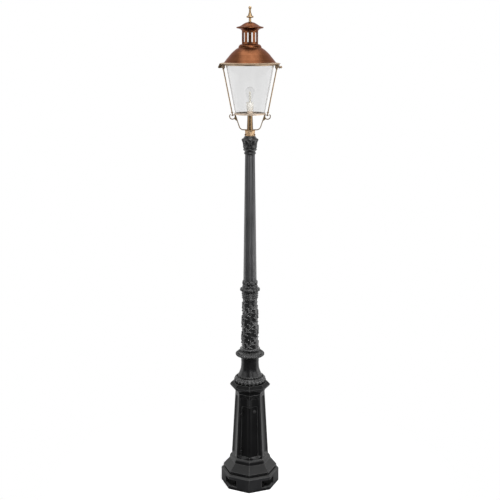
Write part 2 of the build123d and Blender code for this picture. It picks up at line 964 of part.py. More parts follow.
# Disc between neck and column
disc_tip = bell_top + disc_tip_share * disc_height
disc_lip = disc_lip_share * disc_height
disc_lip_radius = disc_radius - disc_lip_depth
with BuildPart() as joint_disc:
    with BuildSketch(Plane.XZ):
        with BuildLine():
            Polyline(
                (disc_collar_radius, disc_top),
                (disc_bore, disc_top),
                (disc_bore, bell_top),
                (bell_neck_radius, bell_top),
                (disc_lip_radius, disc_tip - disc_lip),
            )
            ThreePointArc(
                (disc_lip_radius, disc_tip - disc_lip),
                (disc_radius, disc_tip),
                (disc_lip_radius, disc_tip + disc_lip),
            )
            Polyline(
                (disc_lip_radius, disc_tip + disc_lip),
                (disc_collar_radius, bell_top + disc_slope_share * disc_height),
                (disc_collar_radius, disc_top),
            )
        make_face()
    revolve(axis=Axis.Z)
finish(joint_disc, "joint_disc")

# Column with a slight swell
column_middle_radius = (column_bottom_radius + column_top_radius) / 2 + column_swell
with BuildPart() as column:
    with BuildSketch(Plane.XZ):
        with BuildLine():
            Polyline(
                (column_top_radius, column_top),
                (column_bore, column_top),
                (column_bore, disc_top),
                (column_bottom_radius, disc_top),
            )
            ThreePointArc(
                (column_bottom_radius, disc_top),
                (column_middle_radius, disc_top + column_height / 2),
                (column_top_radius, column_top),
            )
        make_face()
    revolve(axis=Axis.Z)
finish(column, "column")

# Collar: fine rings, a bead, a waist and a leaf torus
rings_top = column_top + collar_ring_count * collar_ring_pitch
collar_rest = collar_top - rings_top
collar_ring_radius = column_top_radius + collar_ring_proud
collar_waist_radius = column_top_radius - collar_waist_inset
with BuildPart() as column_collar:
    with BuildSketch(Plane.XZ):
        with BuildLine():
            Polyline(
                (shaft_bottom_radius, collar_top),
                (collar_bore, collar_top),
                (collar_bore, column_top),
                (column_top_radius, column_top),
            )
            for ring in range(collar_ring_count):
                ring_foot = column_top + ring * collar_ring_pitch
                ThreePointArc(
                    (column_top_radius, ring_foot),
                    (collar_ring_radius, ring_foot + collar_ring_pitch / 2),
                    (column_top_radius, ring_foot + collar_ring_pitch),
                )
            Line(
                (column_top_radius, rings_top),
                (collar_ring_radius, rings_top + collar_bead_foot * collar_rest),
            )
            ThreePointArc(
                (collar_ring_radius, rings_top + collar_bead_foot * collar_rest),
                (column_top_radius + collar_bead_proud, rings_top + collar_bead_middle * collar_rest),
                (collar_ring_radius, rings_top + collar_bead_head * collar_rest),
            )
            Polyline(
                (collar_ring_radius, rings_top + collar_bead_head * collar_rest),
                (collar_waist_radius, rings_top + collar_waist_foot * collar_rest),
                (collar_waist_radius, rings_top + collar_waist_head * collar_rest),
            )
            ThreePointArc(
                (collar_waist_radius, rings_top + collar_waist_head * collar_rest),
                (column_top_radius + collar_torus_proud, rings_top + collar_torus_middle * collar_rest),
                (shaft_bottom_radius, collar_top),
            )
        make_face()
    revolve(axis=Axis.Z)
finish(column_collar, "column_collar")


def fluted_circle(radius):
    """Distance from the axis and radius of the circles that cut the shaft's flutes at a shaft radius."""
    half_angle = pi / shaft_flutes - radians(shaft_ridge_angle) / 2
    depth = shaft_flute_depth * radius / shaft_bottom_radius
    sagitta = depth - radius * (1 - cos(half_angle))
    cutter = ((radius * sin(half_angle)) ** 2 + sagitta**2) / (2 * sagitta)
    return radius - depth + cutter, cutter


# Shaft with a ridge at the front and hollow flutes between ridges
with BuildPart() as shaft:
    for height, radius in ((collar_top, shaft_bottom_radius), (shaft_top, shaft_top_radius)):
        flute_distance, flute_radius = fluted_circle(radius)
        with BuildSketch(Plane.XY.offset(height)):
            Circle(radius)
            with PolarLocations(flute_distance, shaft_flutes, start_angle=180 / shaft_flutes):
                Circle(flute_radius, mode=Mode.SUBTRACT)
    loft(ruled=True)
    with Locations((0, 0, shaft_top)):
        Hole(shaft_bore, depth=shaft_height)
finish(shaft, "shaft")

# Capital: astragal, neck, flaring bell notched into leaves, and a sloping top
capital_neck_radius = shaft_top_radius + capital_neck_proud
capital_bell_radius = shaft_top_radius + capital_bell_proud
capital_lip_radius = shaft_top_radius + capital_lip_proud
capital_top_radius = shaft_top_radius + capital_top_proud
with BuildPart() as capital:
    with BuildSketch(Plane.XZ):
        with BuildLine():
            Polyline(
                (capital_top_radius, capital_top),
                (tube_radius + casting_slip, capital_top),
                (tube_radius + casting_slip, shaft_top),
                (shaft_top_radius, shaft_top),
            )
            ThreePointArc(
                (shaft_top_radius, shaft_top),
                (shaft_top_radius + astragal_proud, shaft_top + astragal_middle_share * capital_height),
                (capital_neck_radius, shaft_top + astragal_top_share * capital_height),
            )
            Polyline(
                (capital_neck_radius, shaft_top + astragal_top_share * capital_height),
                (capital_bell_radius, shaft_top + bell_foot_share * capital_height),
                (capital_bell_radius, shaft_top + bell_head_share * capital_height),
                (capital_lip_radius, shaft_top + lip_foot_share * capital_height),
                (capital_lip_radius, shaft_top + lip_head_share * capital_height),
                (capital_top_radius, shaft_top + capital_slope_share * capital_height),
                (capital_top_radius, capital_top),
            )
        make_face()
    revolve(axis=Axis.Z)
    with Locations((0, 0, shaft_top + notch_foot_share * capital_height)):
        with PolarLocations(capital_lip_radius, capital_leaves, start_angle=180 / capital_leaves):
            Cylinder(
                capital_notch_radius,
                notch_length_share * capital_height,
                align=(Align.CENTER, Align.CENTER, Align.MIN),
                mode=Mode.SUBTRACT,
            )
finish(capital, "capital")

# Brass socket over the tube end, and its set screws
socket_screw_height = capital_top + tube_into_socket / 2
socket_bead_top = capital_top + socket_bead_share * socket_height
socket_cove_bottom = capital_top + socket_cove_foot * socket_height
with BuildPart() as lantern_socket:
    with BuildSketch(Plane.XZ):
        with BuildLine():
            Polyline(
                (socket_radius, socket_top),
                (stem_bore, socket_top),
                (stem_bore, socket_top - socket_top_web),
                (tube_radius + pin_clearance, socket_top - socket_top_web),
                (tube_radius + pin_clearance, capital_top),
                (socket_waist_radius, capital_top),
            )
            ThreePointArc(
                (socket_waist_radius, capital_top),
                (socket_radius, (capital_top + socket_bead_top) / 2),
                (socket_waist_radius, socket_bead_top),
            )
            Line((socket_waist_radius, socket_bead_top), (socket_waist_radius, socket_cove_bottom))
            ThreePointArc(
                (socket_waist_radius, socket_cove_bottom),
                (
                    socket_waist_radius + socket_cove_out * socket_bead,
                    capital_top + socket_cove_middle * socket_height,
                ),
                (socket_radius, socket_top),
            )
        make_face()
    revolve(axis=Axis.Z)
    with PolarLocations(0, socket_screw_count, start_angle=90):
        with Locations(Location((0, 0, socket_screw_height), (0, 90, 0))):
            Cylinder(
                socket_screw_radius + bolt_clearance,
                2 * socket_radius,
                align=(Align.CENTER, Align.CENTER, Align.MIN),
                mode=Mode.SUBTRACT,
            )
finish(lantern_socket, "lantern_socket")

with BuildPart() as socket_screws:
    for index in range(socket_screw_count):
        angle = pi / 2 + 2 * pi * index / socket_screw_count
        outward = Vector(cos(angle), sin(angle), 0)
        lift = Vector(0, 0, socket_screw_height)
        seat = outward * socket_radius + lift
        add(rod_between(outward * (tube_radius + pin_clearance) + lift, seat, socket_screw_radius))
        add(rod_between(seat, seat + outward * socket_screw_head, socket_screw_head_radius))
finish(socket_screws, "socket_screws")

with BuildPart() as lantern_stem:
    add(
        turned(
            [
                (stem_bore, socket_top),
                (stem_bottom_radius, socket_top),
                (stem_top_radius, stem_top),
                (stem_bore, stem_top),
            ]
        )
    )
finish(lantern_stem, "lantern_stem")

# Yoke arms: a strap from the socket top round and up to the gallery, with a rod eye on the outside
strap_height = socket_top + yoke_strap / 2
rise = radians(yoke_rise_angle)
bend_end_x = yoke_flat_length + yoke_bend_radius * sin(rise)
bend_end_z = strap_height + yoke_bend_radius * (1 - cos(rise))
arm_top_x = bend_end_x + (stem_top - bend_end_z) / tan(rise)
eye_inner_radius = eye_radius - yoke_strap
eye_z = stem_top - eye_centre_drop
eye_x = bend_end_x + (eye_z - bend_end_z) / tan(rise) + eye_radius
rod_low = eye_z + eye_inner_radius - rod_below_eye
rod_lean = (collar_outer + rod_from_collar - eye_x) / (lug_bottom - eye_z - eye_inner_radius)
gusset_turn = radians(eye_gusset_angle)


def rod_at(height):
    """Distance of a tie rod's middle from the post axis at a height."""
    return eye_x + rod_lean * (height - eye_z - eye_inner_radius)


def rod_bar(side, low, high, radius):
    """Round bar along a tie rod's middle line between two heights."""
    return rod_between((side * rod_at(low), 0, low), (side * rod_at(high), 0, high), radius)


def hexagon_on_rod(side, low, height):
    """Hexagon nut on a tie rod, from a height up, with the rod's hole in it."""
    direction = Vector(side * rod_lean, 0, 1)
    with BuildPart() as nut:
        with BuildSketch(Plane(origin=(side * rod_at(low), 0, low), z_dir=direction)):
            RegularPolygon(rod_nut_radius, 6)
            Circle(rod_radius + pin_clearance, mode=Mode.SUBTRACT)
        extrude(amount=height)
    return nut.part


for side, side_name in ((-1, "left"), (1, "right")):
    arm_plane = Plane(origin=(0, 0, 0), x_dir=(side, 0, 0), z_dir=(0, -side, 0))
    with BuildPart() as yoke_arm:
        with BuildSketch(arm_plane):
            with BuildLine():
                Line((stem_bottom_radius + bolt_clearance, strap_height), (yoke_flat_length, strap_height))
                bend_middle = (yoke_flat_length, strap_height + yoke_bend_radius)
                CenterArc(bend_middle, yoke_bend_radius, -90, yoke_rise_angle)
                Line((bend_end_x, bend_end_z), (arm_top_x, stem_top + yoke_strap))
            trace(line_width=yoke_strap)
            with BuildLine():
                Polyline(
                    (eye_x - eye_radius, eye_z),
                    (eye_x - eye_radius - eye_gusset / tan(rise), eye_z - eye_gusset),
                    (eye_x + eye_radius * cos(gusset_turn), eye_z + eye_radius * sin(gusset_turn)),
                    close=True,
                )
            make_face()
            with Locations((eye_x, eye_z)):
                Circle(eye_radius)
                Circle(eye_inner_radius, mode=Mode.SUBTRACT)
        extrude(amount=yoke_width / 2, both=True)
        with Locations((0, 0, stem_top)):
            Cylinder(
                2 * gallery_radius,
                2 * yoke_strap,
                align=(Align.CENTER, Align.CENTER, Align.MIN),
                mode=Mode.SUBTRACT,
            )
        add(rod_bar(side, eye_z, eye_z + 2 * eye_radius, rod_radius + bolt_clearance), mode=Mode.SUBTRACT)
    finish(yoke_arm, f"yoke_arm_{side_name}")

# Gallery dish with rim, vents and hub
hub_top = gallery_top + gallery_hub_height
gallery_inside = gallery_radius - gallery_rim
with BuildPart() as bottom_gallery:
    add(
        turned(
            [
                (nipple_radius + bolt_clearance, gallery_bottom),
                (gallery_radius, gallery_bottom),
                (gallery_radius, gallery_bottom + gallery_rim_height),
                (gallery_inside, gallery_bottom + gallery_rim_height),
                (gallery_inside, gallery_top),
                (gallery_hub_foot_radius, gallery_top),
                (gallery_hub_radius, hub_top),
                (nipple_radius + bolt_clearance, hub_top),
            ]
        )
    )
    with Locations((0, 0, gallery_top)):
        with PolarLocations(gallery_vent_circle, gallery_vents):
            Hole(gallery_vent_radius, depth=gallery_floor)
finish(bottom_gallery, "bottom_gallery")

# Glass cone between its two gaskets
rim_share = (gallery_rim_height - gallery_floor - gasket) / glass_height
glass_at_rim = gallery_inside - glass_rim_gap
glass_bottom_radius = (glass_at_rim - glass_top_radius * rim_share) / (1 - rim_share)
glass_slope = hypot(glass_height, glass_top_radius - glass_bottom_radius) / glass_height
glass_step = glass_wall * glass_slope
with BuildPart() as bottom_gasket:
    add(
        turned(
            [
                (glass_bottom_radius - gasket_width, gallery_top),
                (glass_bottom_radius, gallery_top),
                (glass_bottom_radius, glass_bottom),
                (glass_bottom_radius - gasket_width, glass_bottom),
            ]
        )
    )
finish(bottom_gasket, "bottom_gasket")

with BuildPart() as glass_cone:
    add(
        turned(
            [
                (glass_bottom_radius - glass_step, glass_bottom),
                (glass_bottom_radius, glass_bottom),
                (glass_top_radius, glass_top),
                (glass_top_radius - glass_step, glass_top),
            ]
        )
    )
finish(glass_cone, "glass_cone")

with BuildPart() as top_gasket:
    add(
        turned(
            [
                (glass_top_radius - gasket_width, glass_top),
                (glass_top_radius, glass_top),
                (glass_top_radius, ring_bottom),
                (glass_top_radius - gasket_width, ring_bottom),
            ]
        )
    )
finish(top_gasket, "top_gasket")

# Top ring over the glass, with a lug at each side for rod, hinge and latch
top_ring_inner_radius = glass_top_radius - top_ring_lap
rod_top = lug_bottom + rod_into_lug
stud_z = lug_bottom + latch_stud_height
with BuildPart() as top_ring:
    add(
        turned(
            [
                (top_ring_inner_radius, ring_bottom),
                (collar_inner, ring_bottom),
                (collar_inner, ring_bottom - top_ring_collar_height),
                (collar_outer, ring_bottom - top_ring_collar_height),
                (collar_outer, ring_top),
                (top_ring_inner_radius, ring_top),
            ]
        )
    )
    for side in (-1, 1):
        with Locations((side * (collar_inner + top_ring_wall / 2 + lug_end_x) / 2, 0, lug_bottom)):
            Box(
                lug_end_x - collar_inner - top_ring_wall / 2,
                lug_width,
                lug_height,
                align=(Align.CENTER, Align.CENTER, Align.MIN),
            )
    for side in (-1, 1):
        bore = rod_bar(side, lug_bottom - lug_height, rod_top + bolt_clearance, rod_radius + bolt_clearance)
        add(bore, mode=Mode.SUBTRACT)
    with BuildSketch(Plane.YZ.offset(lug_end_x)):
        with Locations((0, stud_z)):
            Circle(latch_stud_radius + pin_clearance)
    extrude(amount=-latch_stud_into_lug, mode=Mode.SUBTRACT)
finish(top_ring, "top_ring")

for side, side_name in ((-1, "left"), (1, "right")):
    with BuildPart() as tie_rod:
        add(rod_bar(side, rod_low, rod_top, rod_radius))
    finish(tie_rod, f"tie_rod_{side_name}")

eye_top = eye_z + eye_radius
eye_nut_seat = eye_z + sqrt(eye_inner_radius**2 - (rod_nut_radius + rod_lean * yoke_strap) ** 2)
nut_tilt = rod_lean * rod_nut_radius
with BuildPart() as rod_nuts:
    for side in (-1, 1):
        add(hexagon_on_rod(side, eye_top + nut_tilt, rod_nut))
        add(hexagon_on_rod(side, eye_nut_seat - rod_nut - nut_tilt, rod_nut * cos(rod_lean)))
        add(hexagon_on_rod(side, lug_bottom - rod_nut - nut_tilt, rod_nut * cos(rod_lean)))
finish(rod_nuts, "rod_nuts")

# Lampholder on the hub, with its nipple, screw shell and contact
holder_top = hub_top + holder_height
socket_floor = holder_top - holder_socket_depth
holder_shoulder = hub_top + holder_shoulder_rise * holder_height
with BuildPart() as lampholder:
    with BuildSketch(Plane.XZ):
        with BuildLine():
            Polyline(
                (holder_radius, holder_top),
                (holder_socket_radius, holder_top),
                (holder_socket_radius, socket_floor),
                (0, socket_floor),
                (0, hub_top + nipple_into_holder),
                (nipple_radius + bolt_clearance, hub_top + nipple_into_holder),
                (nipple_radius + bolt_clearance, hub_top),
                (holder_foot_radius, hub_top),
            )
            ThreePointArc(
                (holder_foot_radius, hub_top),
                (
                    holder_foot_radius + holder_flank_out * (holder_radius - holder_foot_radius),
                    hub_top + holder_flank_rise * holder_height,
                ),
                (holder_radius, holder_shoulder),
            )
            Line((holder_radius, holder_shoulder), (holder_radius, holder_top))
        make_face()
    revolve(axis=Axis.Z)
finish(lampholder, "lampholder")

with BuildPart() as holder_shell:
    add(
        turned(
            [
                (holder_socket_radius - shell_wall, socket_floor),
                (holder_socket_radius, socket_floor),
                (holder_socket_radius, holder_top - shell_wall),
                (holder_socket_radius - shell_wall, holder_top - shell_wall),
            ]
        )
    )
finish(holder_shell, "holder_shell")

with BuildPart() as holder_contact:
    with Locations((0, 0, socket_floor)):
        Cylinder(contact_radius, contact_height, align=(Align.CENTER, Align.CENTER, Align.MIN))
finish(holder_contact, "holder_contact")

nipple_bottom = gallery_bottom - nipple_into_stem
with BuildPart() as holder_nipple:
    add(
        turned(
            [
                (nipple_bore, nipple_bottom),
                (nipple_radius, nipple_bottom),
                (nipple_radius, hub_top + nipple_into_holder),
                (nipple_bore, hub_top + nipple_into_holder),
            ]
        )
    )
finish(holder_nipple, "holder_nipple")

with BuildPart() as nipple_lock_nut:
    with BuildSketch(Plane.XY.offset(gallery_bottom)):
        RegularPolygon(nipple_nut_radius, 6)
        Circle(nipple_radius + pin_clearance, mode=Mode.SUBTRACT)
    extrude(amount=-nipple_nut)
finish(nipple_lock_nut, "nipple_nut")

# Bulb: screw cap, pear-shaped glass and upright filaments on a stem
bulb_tip_bottom = socket_floor + contact_height + moving_gap
cap_bottom = bulb_tip_bottom + bulb_tip
bulb_cap_top = cap_bottom + bulb_cap_length
with BuildPart() as bulb_cap:
    add(
        turned(
            [
                (0, bulb_tip_bottom),
                (bulb_tip_radius, bulb_tip_bottom),
                (bulb_cap_radius, cap_bottom),
                (bulb_cap_radius, bulb_cap_top),
                (bulb_cap_radius - bulb_cap_wall, bulb_cap_top),
                (bulb_cap_radius - bulb_cap_wall, cap_bottom + bulb_cap_wall),
                (0, cap_bottom + bulb_cap_wall),
            ]
        )
    )
finish(bulb_cap, "bulb_cap")

bulb_neck_bottom = bulb_cap_top - bulb_cap_length / 4
bulb_top = bulb_cap_top + bulb_length
bulb_middle = bulb_top - bulb_radius
bulb_flank_radius = bulb_neck_radius + bulb_flank_out * (bulb_radius - bulb_neck_radius)
bulb_flank_height = bulb_cap_top + bulb_flank_rise * (bulb_middle - bulb_cap_top)
with BuildPart() as bulb_glass:
    with BuildSketch(Plane.XZ):
        for shrink in (0.0, bulb_glass_wall):
            neck = bulb_neck_radius - shrink
            globe = bulb_radius - shrink
            with BuildLine():
                Polyline((0, bulb_neck_bottom), (neck, bulb_neck_bottom), (neck, bulb_cap_top))
                Spline(
                    (neck, bulb_cap_top),
                    (bulb_flank_radius - shrink, bulb_flank_height),
                    (globe, bulb_middle),
                    tangents=[(0, 1), (0, 1)],
                )
                RadiusArc((globe, bulb_middle), (0, bulb_top - shrink), -globe)
                Line((0, bulb_top - shrink), (0, bulb_neck_bottom))
            make_face(mode=Mode.ADD if shrink == 0.0 else Mode.SUBTRACT)
    revolve(axis=Axis.Z)
finish(bulb_glass, "bulb_glass")

filament_low = bulb_cap_top + filament_bottom
filament_high = filament_low + filament_height
with BuildPart() as bulb_filament:
    add(
        turned(
            [
                (0, cap_bottom + bulb_cap_wall),
                (bulb_neck_radius - 2 * bulb_glass_wall, cap_bottom + bulb_cap_wall),
                (filament_stem_radius, bulb_cap_top),
                (filament_stem_radius, filament_low),
                (filament_radius, filament_low),
                (filament_radius, filament_low + filament_stick_radius),
                (filament_stem_radius / 2, filament_low + filament_stick_radius),
                (filament_stem_radius / 2, filament_high - filament_stick_radius),
                (filament_radius, filament_high - filament_stick_radius),
                (filament_radius, filament_high),
                (0, filament_high),
            ]
        )
    )
    with PolarLocations(filament_radius - 2 * filament_stick_radius, filament_count, start_angle=45):
        with Locations((0, 0, filament_low)):
            Cylinder(
                filament_stick_radius, filament_height, align=(Align.CENTER, Align.CENTER, Align.MIN)
            )
finish(bulb_filament, "bulb_filament")

# Roof brim: a seat ring under the dome and a sloping brim with a rounded edge
brim_bottom = ring_top + moving_gap
brim_under = brim_bottom + brim_seat_depth
brim_top = brim_under + brim_depth
seat_outer = dome_foot_radius + brim_sheet / 2
seat_inner = seat_outer - brim_seat_width
edge_x = brim_radius - brim_edge / 2
with BuildPart() as roof_brim:
    with BuildSketch(Plane.XZ):
        with BuildLine():
            Polyline(
                (edge_x, brim_under + brim_edge),
                (seat_outer, brim_top),
                (seat_inner, brim_top),
                (seat_inner, brim_bottom),
                (collar_outer, brim_bottom),
                (seat_outer, brim_under),
                (edge_x, brim_under),
            )
            ThreePointArc(
                (edge_x, brim_under),
                (brim_radius, brim_under + brim_edge / 2),
                (edge_x, brim_under + brim_edge),
            )
        make_face()
        with BuildLine():
            Polyline(
                (seat_outer + brim_sheet, brim_under),
                (edge_x - brim_sheet, brim_under),
                (edge_x - brim_sheet, brim_under + brim_edge - brim_sheet),
                (seat_outer + brim_sheet, brim_top - 2 * brim_sheet),
                close=True,
            )
        make_face(mode=Mode.SUBTRACT)
    revolve(axis=Axis.Z)
finish(roof_brim, "roof_brim")

# Copper dome, chimney collar, slotted chimney, flare and cap
dome_top = brim_top + dome_height
dome_drop = dome_foot_radius - dome_top_radius
dome_shape = ((0.0, 0.0), (0.18, 0.14), (0.4, 0.32), (0.62, 0.51), (0.77, 0.67), (0.89, 0.82), (1.0, 1.0))
dome_curve = [
    (dome_foot_radius - inward * dome_drop, brim_top + up * dome_height) for up, inward in dome_shape
]
with BuildPart() as roof_dome:
    add(spun(dome_curve, wall_inside(dome_curve, dome_sheet)))
finish(roof_dome, "roof_dome")

chimney_foot = dome_top + chimney_collar_round
chimney_inner = chimney_radius - chimney_sheet
collar_hollow = chimney_collar_round - chimney_collar_sheet
with BuildPart() as chimney_collar:
    with BuildSketch(Plane.XZ):
        with BuildLine():
            CenterArc((chimney_radius, dome_top), chimney_collar_round, 0, 90)
            Polyline(
                (chimney_radius, chimney_foot),
                (chimney_inner, chimney_foot),
                (chimney_inner, dome_top + collar_hollow),
                (chimney_radius, dome_top + collar_hollow),
            )
            CenterArc((chimney_radius, dome_top), collar_hollow, 90, -90)
            Line((chimney_radius + collar_hollow, dome_top), (dome_top_radius, dome_top))
        make_face()
    revolve(axis=Axis.Z)
finish(chimney_collar, "chimney_collar")

chimney_top = chimney_foot + chimney_height
with BuildPart() as chimney:
    add(
        turned(
            [
                (chimney_inner, chimney_foot),
                (chimney_radius, chimney_foot),
                (chimney_radius, chimney_top),
                (chimney_inner, chimney_top),
            ]
        )
    )
    slot_middle = chimney_foot + slot_above_foot + slot_height / 2
    for index in range(chimney_slots):
        slot_angle = 2 * pi * (index + 0.5) / chimney_slots
        outward = (cos(slot_angle), sin(slot_angle), 0)
        slot_plane = Plane(origin=(0, 0, slot_middle), x_dir=(0, 0, 1), z_dir=outward)
        with BuildSketch(slot_plane):
            SlotOverall(slot_height, slot_width)
        extrude(amount=2 * chimney_radius, mode=Mode.SUBTRACT)
finish(chimney, "chimney")

flare_top = chimney_top + flare_height
flare_shape = ((0.0, 0.0), (0.35, 0.1), (0.65, 0.32), (0.86, 0.63), (1.0, 1.0))
flare_lip = flare_radius - 3 * chimney_sheet
flare_outer = [
    (chimney_radius + out * flare_reach, chimney_top + up * flare_height) for up, out in flare_shape
]
flare_inner = [
    (chimney_inner + out * (flare_lip - chimney_inner), chimney_top + up * flare_height)
    for up, out in flare_shape
]
with BuildPart() as chimney_flare:
    add(spun(flare_outer, flare_inner))
finish(chimney_flare, "chimney_flare")

cap_rim_top = flare_top + cap_rim_height
cap_top = cap_rim_top + cap_height
cap_flank_radius = cap_hub_radius + cap_flank_out * (flare_radius - cap_hub_radius)
cap_flank_height = cap_rim_top + cap_flank_rise * cap_height
with BuildPart() as chimney_cap:
    with BuildSketch(Plane.XZ):
        with BuildLine():
            ThreePointArc(
                (flare_radius, flare_top),
                (cap_radius, flare_top + cap_rim_height / 2),
                (flare_radius, cap_rim_top),
            )
            Spline(
                (flare_radius, cap_rim_top),
                (cap_flank_radius, cap_flank_height),
                (cap_hub_radius, cap_top),
            )
            Polyline(
                (cap_hub_radius, cap_top),
                (stud_radius + bolt_clearance, cap_top),
                (stud_radius + bolt_clearance, cap_top - 2 * cap_sheet),
                (cap_hub_radius, cap_top - 2 * cap_sheet),
            )
            Spline(
                (cap_hub_radius, cap_top - 2 * cap_sheet),
                (cap_flank_radius, cap_flank_height - cap_sheet),
                (flare_radius - 2 * cap_sheet, cap_rim_top - cap_sheet),
            )
            Polyline(
                (flare_radius - 2 * cap_sheet, cap_rim_top - cap_sheet),
                (flare_radius - 2 * cap_sheet, flare_top),
                (flare_radius, flare_top),
            )
        make_face()
    revolve(axis=Axis.Z)
finish(chimney_cap, "chimney_cap")

# Finial with its stud, bridge bar and nut inside the chimney
disc_foot = cap_top + finial_stem_height
cone_foot = disc_foot + finial_disc
cone_top = cone_foot + finial_cone_height
cone_bend = cone_foot + finial_cone_bend_share * finial_cone_height
disc_flat_radius = finial_disc_radius - finial_disc_lip
neck_top = cone_top + finial_neck_height
ball_middle = neck_top + sqrt(finial_ball_radius**2 - finial_neck_radius**2)
stud_top = cap_top + stud_into_finial
with BuildPart() as finial:
    with BuildSketch(Plane.XZ):
        with BuildLine():
            Polyline(
                (0, stud_top),
                (stud_radius + pin_clearance, stud_top),
                (stud_radius + pin_clearance, cap_top),
                (cap_hub_radius, cap_top),
                (finial_stem_radius, cap_top + finial_foot_share * finial_stem_height),
                (finial_stem_radius, disc_foot),
                (disc_flat_radius, disc_foot),
            )
            ThreePointArc(
                (disc_flat_radius, disc_foot),
                (finial_disc_radius, disc_foot + finial_disc / 2),
                (disc_flat_radius, cone_foot),
            )
            Polyline(
                (disc_flat_radius, cone_foot),
                (finial_cone_radius, cone_foot),
                (finial_neck_radius + finial_cone_bend_proud, cone_bend),
                (finial_neck_radius, cone_top),
                (finial_neck_radius, neck_top),
            )
            ThreePointArc(
                (finial_neck_radius, neck_top),
                (finial_ball_radius, ball_middle),
                (0, ball_middle + finial_ball_radius),
            )
            Line((0, ball_middle + finial_ball_radius), (0, stud_top))
        make_face()
    revolve(axis=Axis.Z)
finish(finial, "finial")

bridge_top = chimney_top - bridge_below_top
with BuildPart() as finial_stud:
    stud_bottom = bridge_top - bridge_thickness - 2 * stud_nut
    with Locations((0, 0, stud_bottom)):
        Cylinder(stud_radius, stud_top - stud_bottom, align=(Align.CENTER, Align.CENTER, Align.MIN))
finish(finial_stud, "finial_stud")

with BuildPart() as chimney_bridge:
    with BuildSketch(Plane.XY.offset(bridge_top)):
        Circle(chimney_inner)
        Rectangle(bridge_width, 3 * chimney_radius, mode=Mode.INTERSECT)
        Circle(stud_radius + bolt_clearance, mode=Mode.SUBTRACT)
    extrude(amount=-bridge_thickness)
finish(chimney_bridge, "chimney_bridge")

with BuildPart() as bridge_nut:
    with BuildSketch(Plane.XY.offset(bridge_top - bridge_thickness)):
        RegularPolygon(stud_nut_radius, 6)
        Circle(stud_radius + pin_clearance, mode=Mode.SUBTRACT)
    extrude(amount=-stud_nut)
finish(bridge_nut, "stud_nut")

# Roof hinge at the left: a fixed leaf on the lug between two cheeks on the brim
pivot_z = brim_under - hinge_below_brim
cheek_inner = roof_knuckle_width / 2 + moving_gap
cheek_outer = cheek_inner + roof_cheek_width
cheek_right = lug_end_x + moving_gap + pin_clearance


def hinge_leaf(corners, low, high):
    """Plate round the roof pivot that widens to two further corners, between two depths along Y."""
    with BuildPart() as leaf:
        with BuildSketch(Plane.XZ.offset(-high)):
            with BuildLine():
                Polyline(*corners, close=True)
            make_face()
            with Locations((-hinge_from_axis, pivot_z)):
                Circle(roof_knuckle_radius)
                Circle(roof_pin_radius + pin_clearance, mode=Mode.SUBTRACT)
        extrude(amount=high - low)
    return leaf.part


fixed_corners = (
    (-hinge_from_axis, pivot_z - roof_knuckle_radius),
    (-lug_end_x, pivot_z - roof_knuckle_radius),
    (-lug_end_x, pivot_z + roof_knuckle_radius),
    (-hinge_from_axis, pivot_z + roof_knuckle_radius),
)
cheek_corners = (
    (-hinge_from_axis - roof_knuckle_radius, pivot_z),
    (-cheek_right, pivot_z),
    (-cheek_right, brim_under),
    (-hinge_from_axis + brim_edge / 2, brim_under),
)
with BuildPart() as hinge_leaf_fixed:
    add(hinge_leaf(fixed_corners, -roof_knuckle_width / 2, roof_knuckle_width / 2))
finish(hinge_leaf_fixed, "hinge_leaf_fixed")

with BuildPart() as hinge_leaf_roof:
    add(hinge_leaf(cheek_corners, -cheek_outer, -cheek_inner))
    add(hinge_leaf(cheek_corners, cheek_inner, cheek_outer))
    with Locations((-cheek_right, 0, brim_under)):
        Box(
            hinge_from_axis - brim_edge / 2 - cheek_right,
            2 * cheek_outer,
            roof_leaf_bridge,
            align=(Align.MAX, Align.CENTER, Align.MAX),
        )
finish(hinge_leaf_roof, "hinge_leaf_roof")

with BuildPart() as roof_hinge_pin:
    with BuildSketch(Plane.XZ.offset(-cheek_outer)):
        with Locations((-hinge_from_axis, pivot_z)):
            Circle(roof_pin_radius)
    extrude(amount=2 * cheek_outer)
    for depth in (-cheek_outer - moving_gap - roof_pin_head, cheek_outer + moving_gap):
        with BuildSketch(Plane.XZ.offset(depth)):
            with Locations((-hinge_from_axis, pivot_z)):
                Circle(roof_pin_head_radius)
        extrude(amount=roof_pin_head)
    for depth in (-cheek_outer - moving_gap, cheek_outer):
        with BuildSketch(Plane.XZ.offset(depth)):
            with Locations((-hinge_from_axis, pivot_z)):
                Circle(roof_pin_radius)
        extrude(amount=moving_gap)
finish(roof_hinge_pin, "roof_hinge_pin")

# Latch at the right: a slotted hasp on the brim, a stud in the lug and a wing nut
hasp_x = lug_end_x + latch_gap
hasp_bottom = stud_z - hasp_below_stud
slot_half = latch_stud_radius + latch_gap
with BuildPart() as latch_hasp:
    with BuildSketch(Plane.YZ.offset(hasp_x)):
        with BuildLine():
            Polyline(
                (-slot_half, stud_z),
                (-slot_half, hasp_bottom),
                (-hasp_width / 2, hasp_bottom),
                (-hasp_width / 2, brim_under),
                (hasp_width / 2, brim_under),
                (hasp_width / 2, hasp_bottom),
                (slot_half, hasp_bottom),
                (slot_half, stud_z),
            )
            ThreePointArc((slot_half, stud_z), (0, stud_z + slot_half), (-slot_half, stud_z))
        make_face()
    extrude(amount=hasp_thickness)
finish(latch_hasp, "latch_hasp")

with BuildPart() as latch_stud:
    with BuildSketch(Plane.YZ.offset(lug_end_x - latch_stud_into_lug)):
        with Locations((0, stud_z)):
            Circle(latch_stud_radius)
    extrude(amount=latch_stud_into_lug + latch_stud_reach)
finish(latch_stud, "latch_stud")

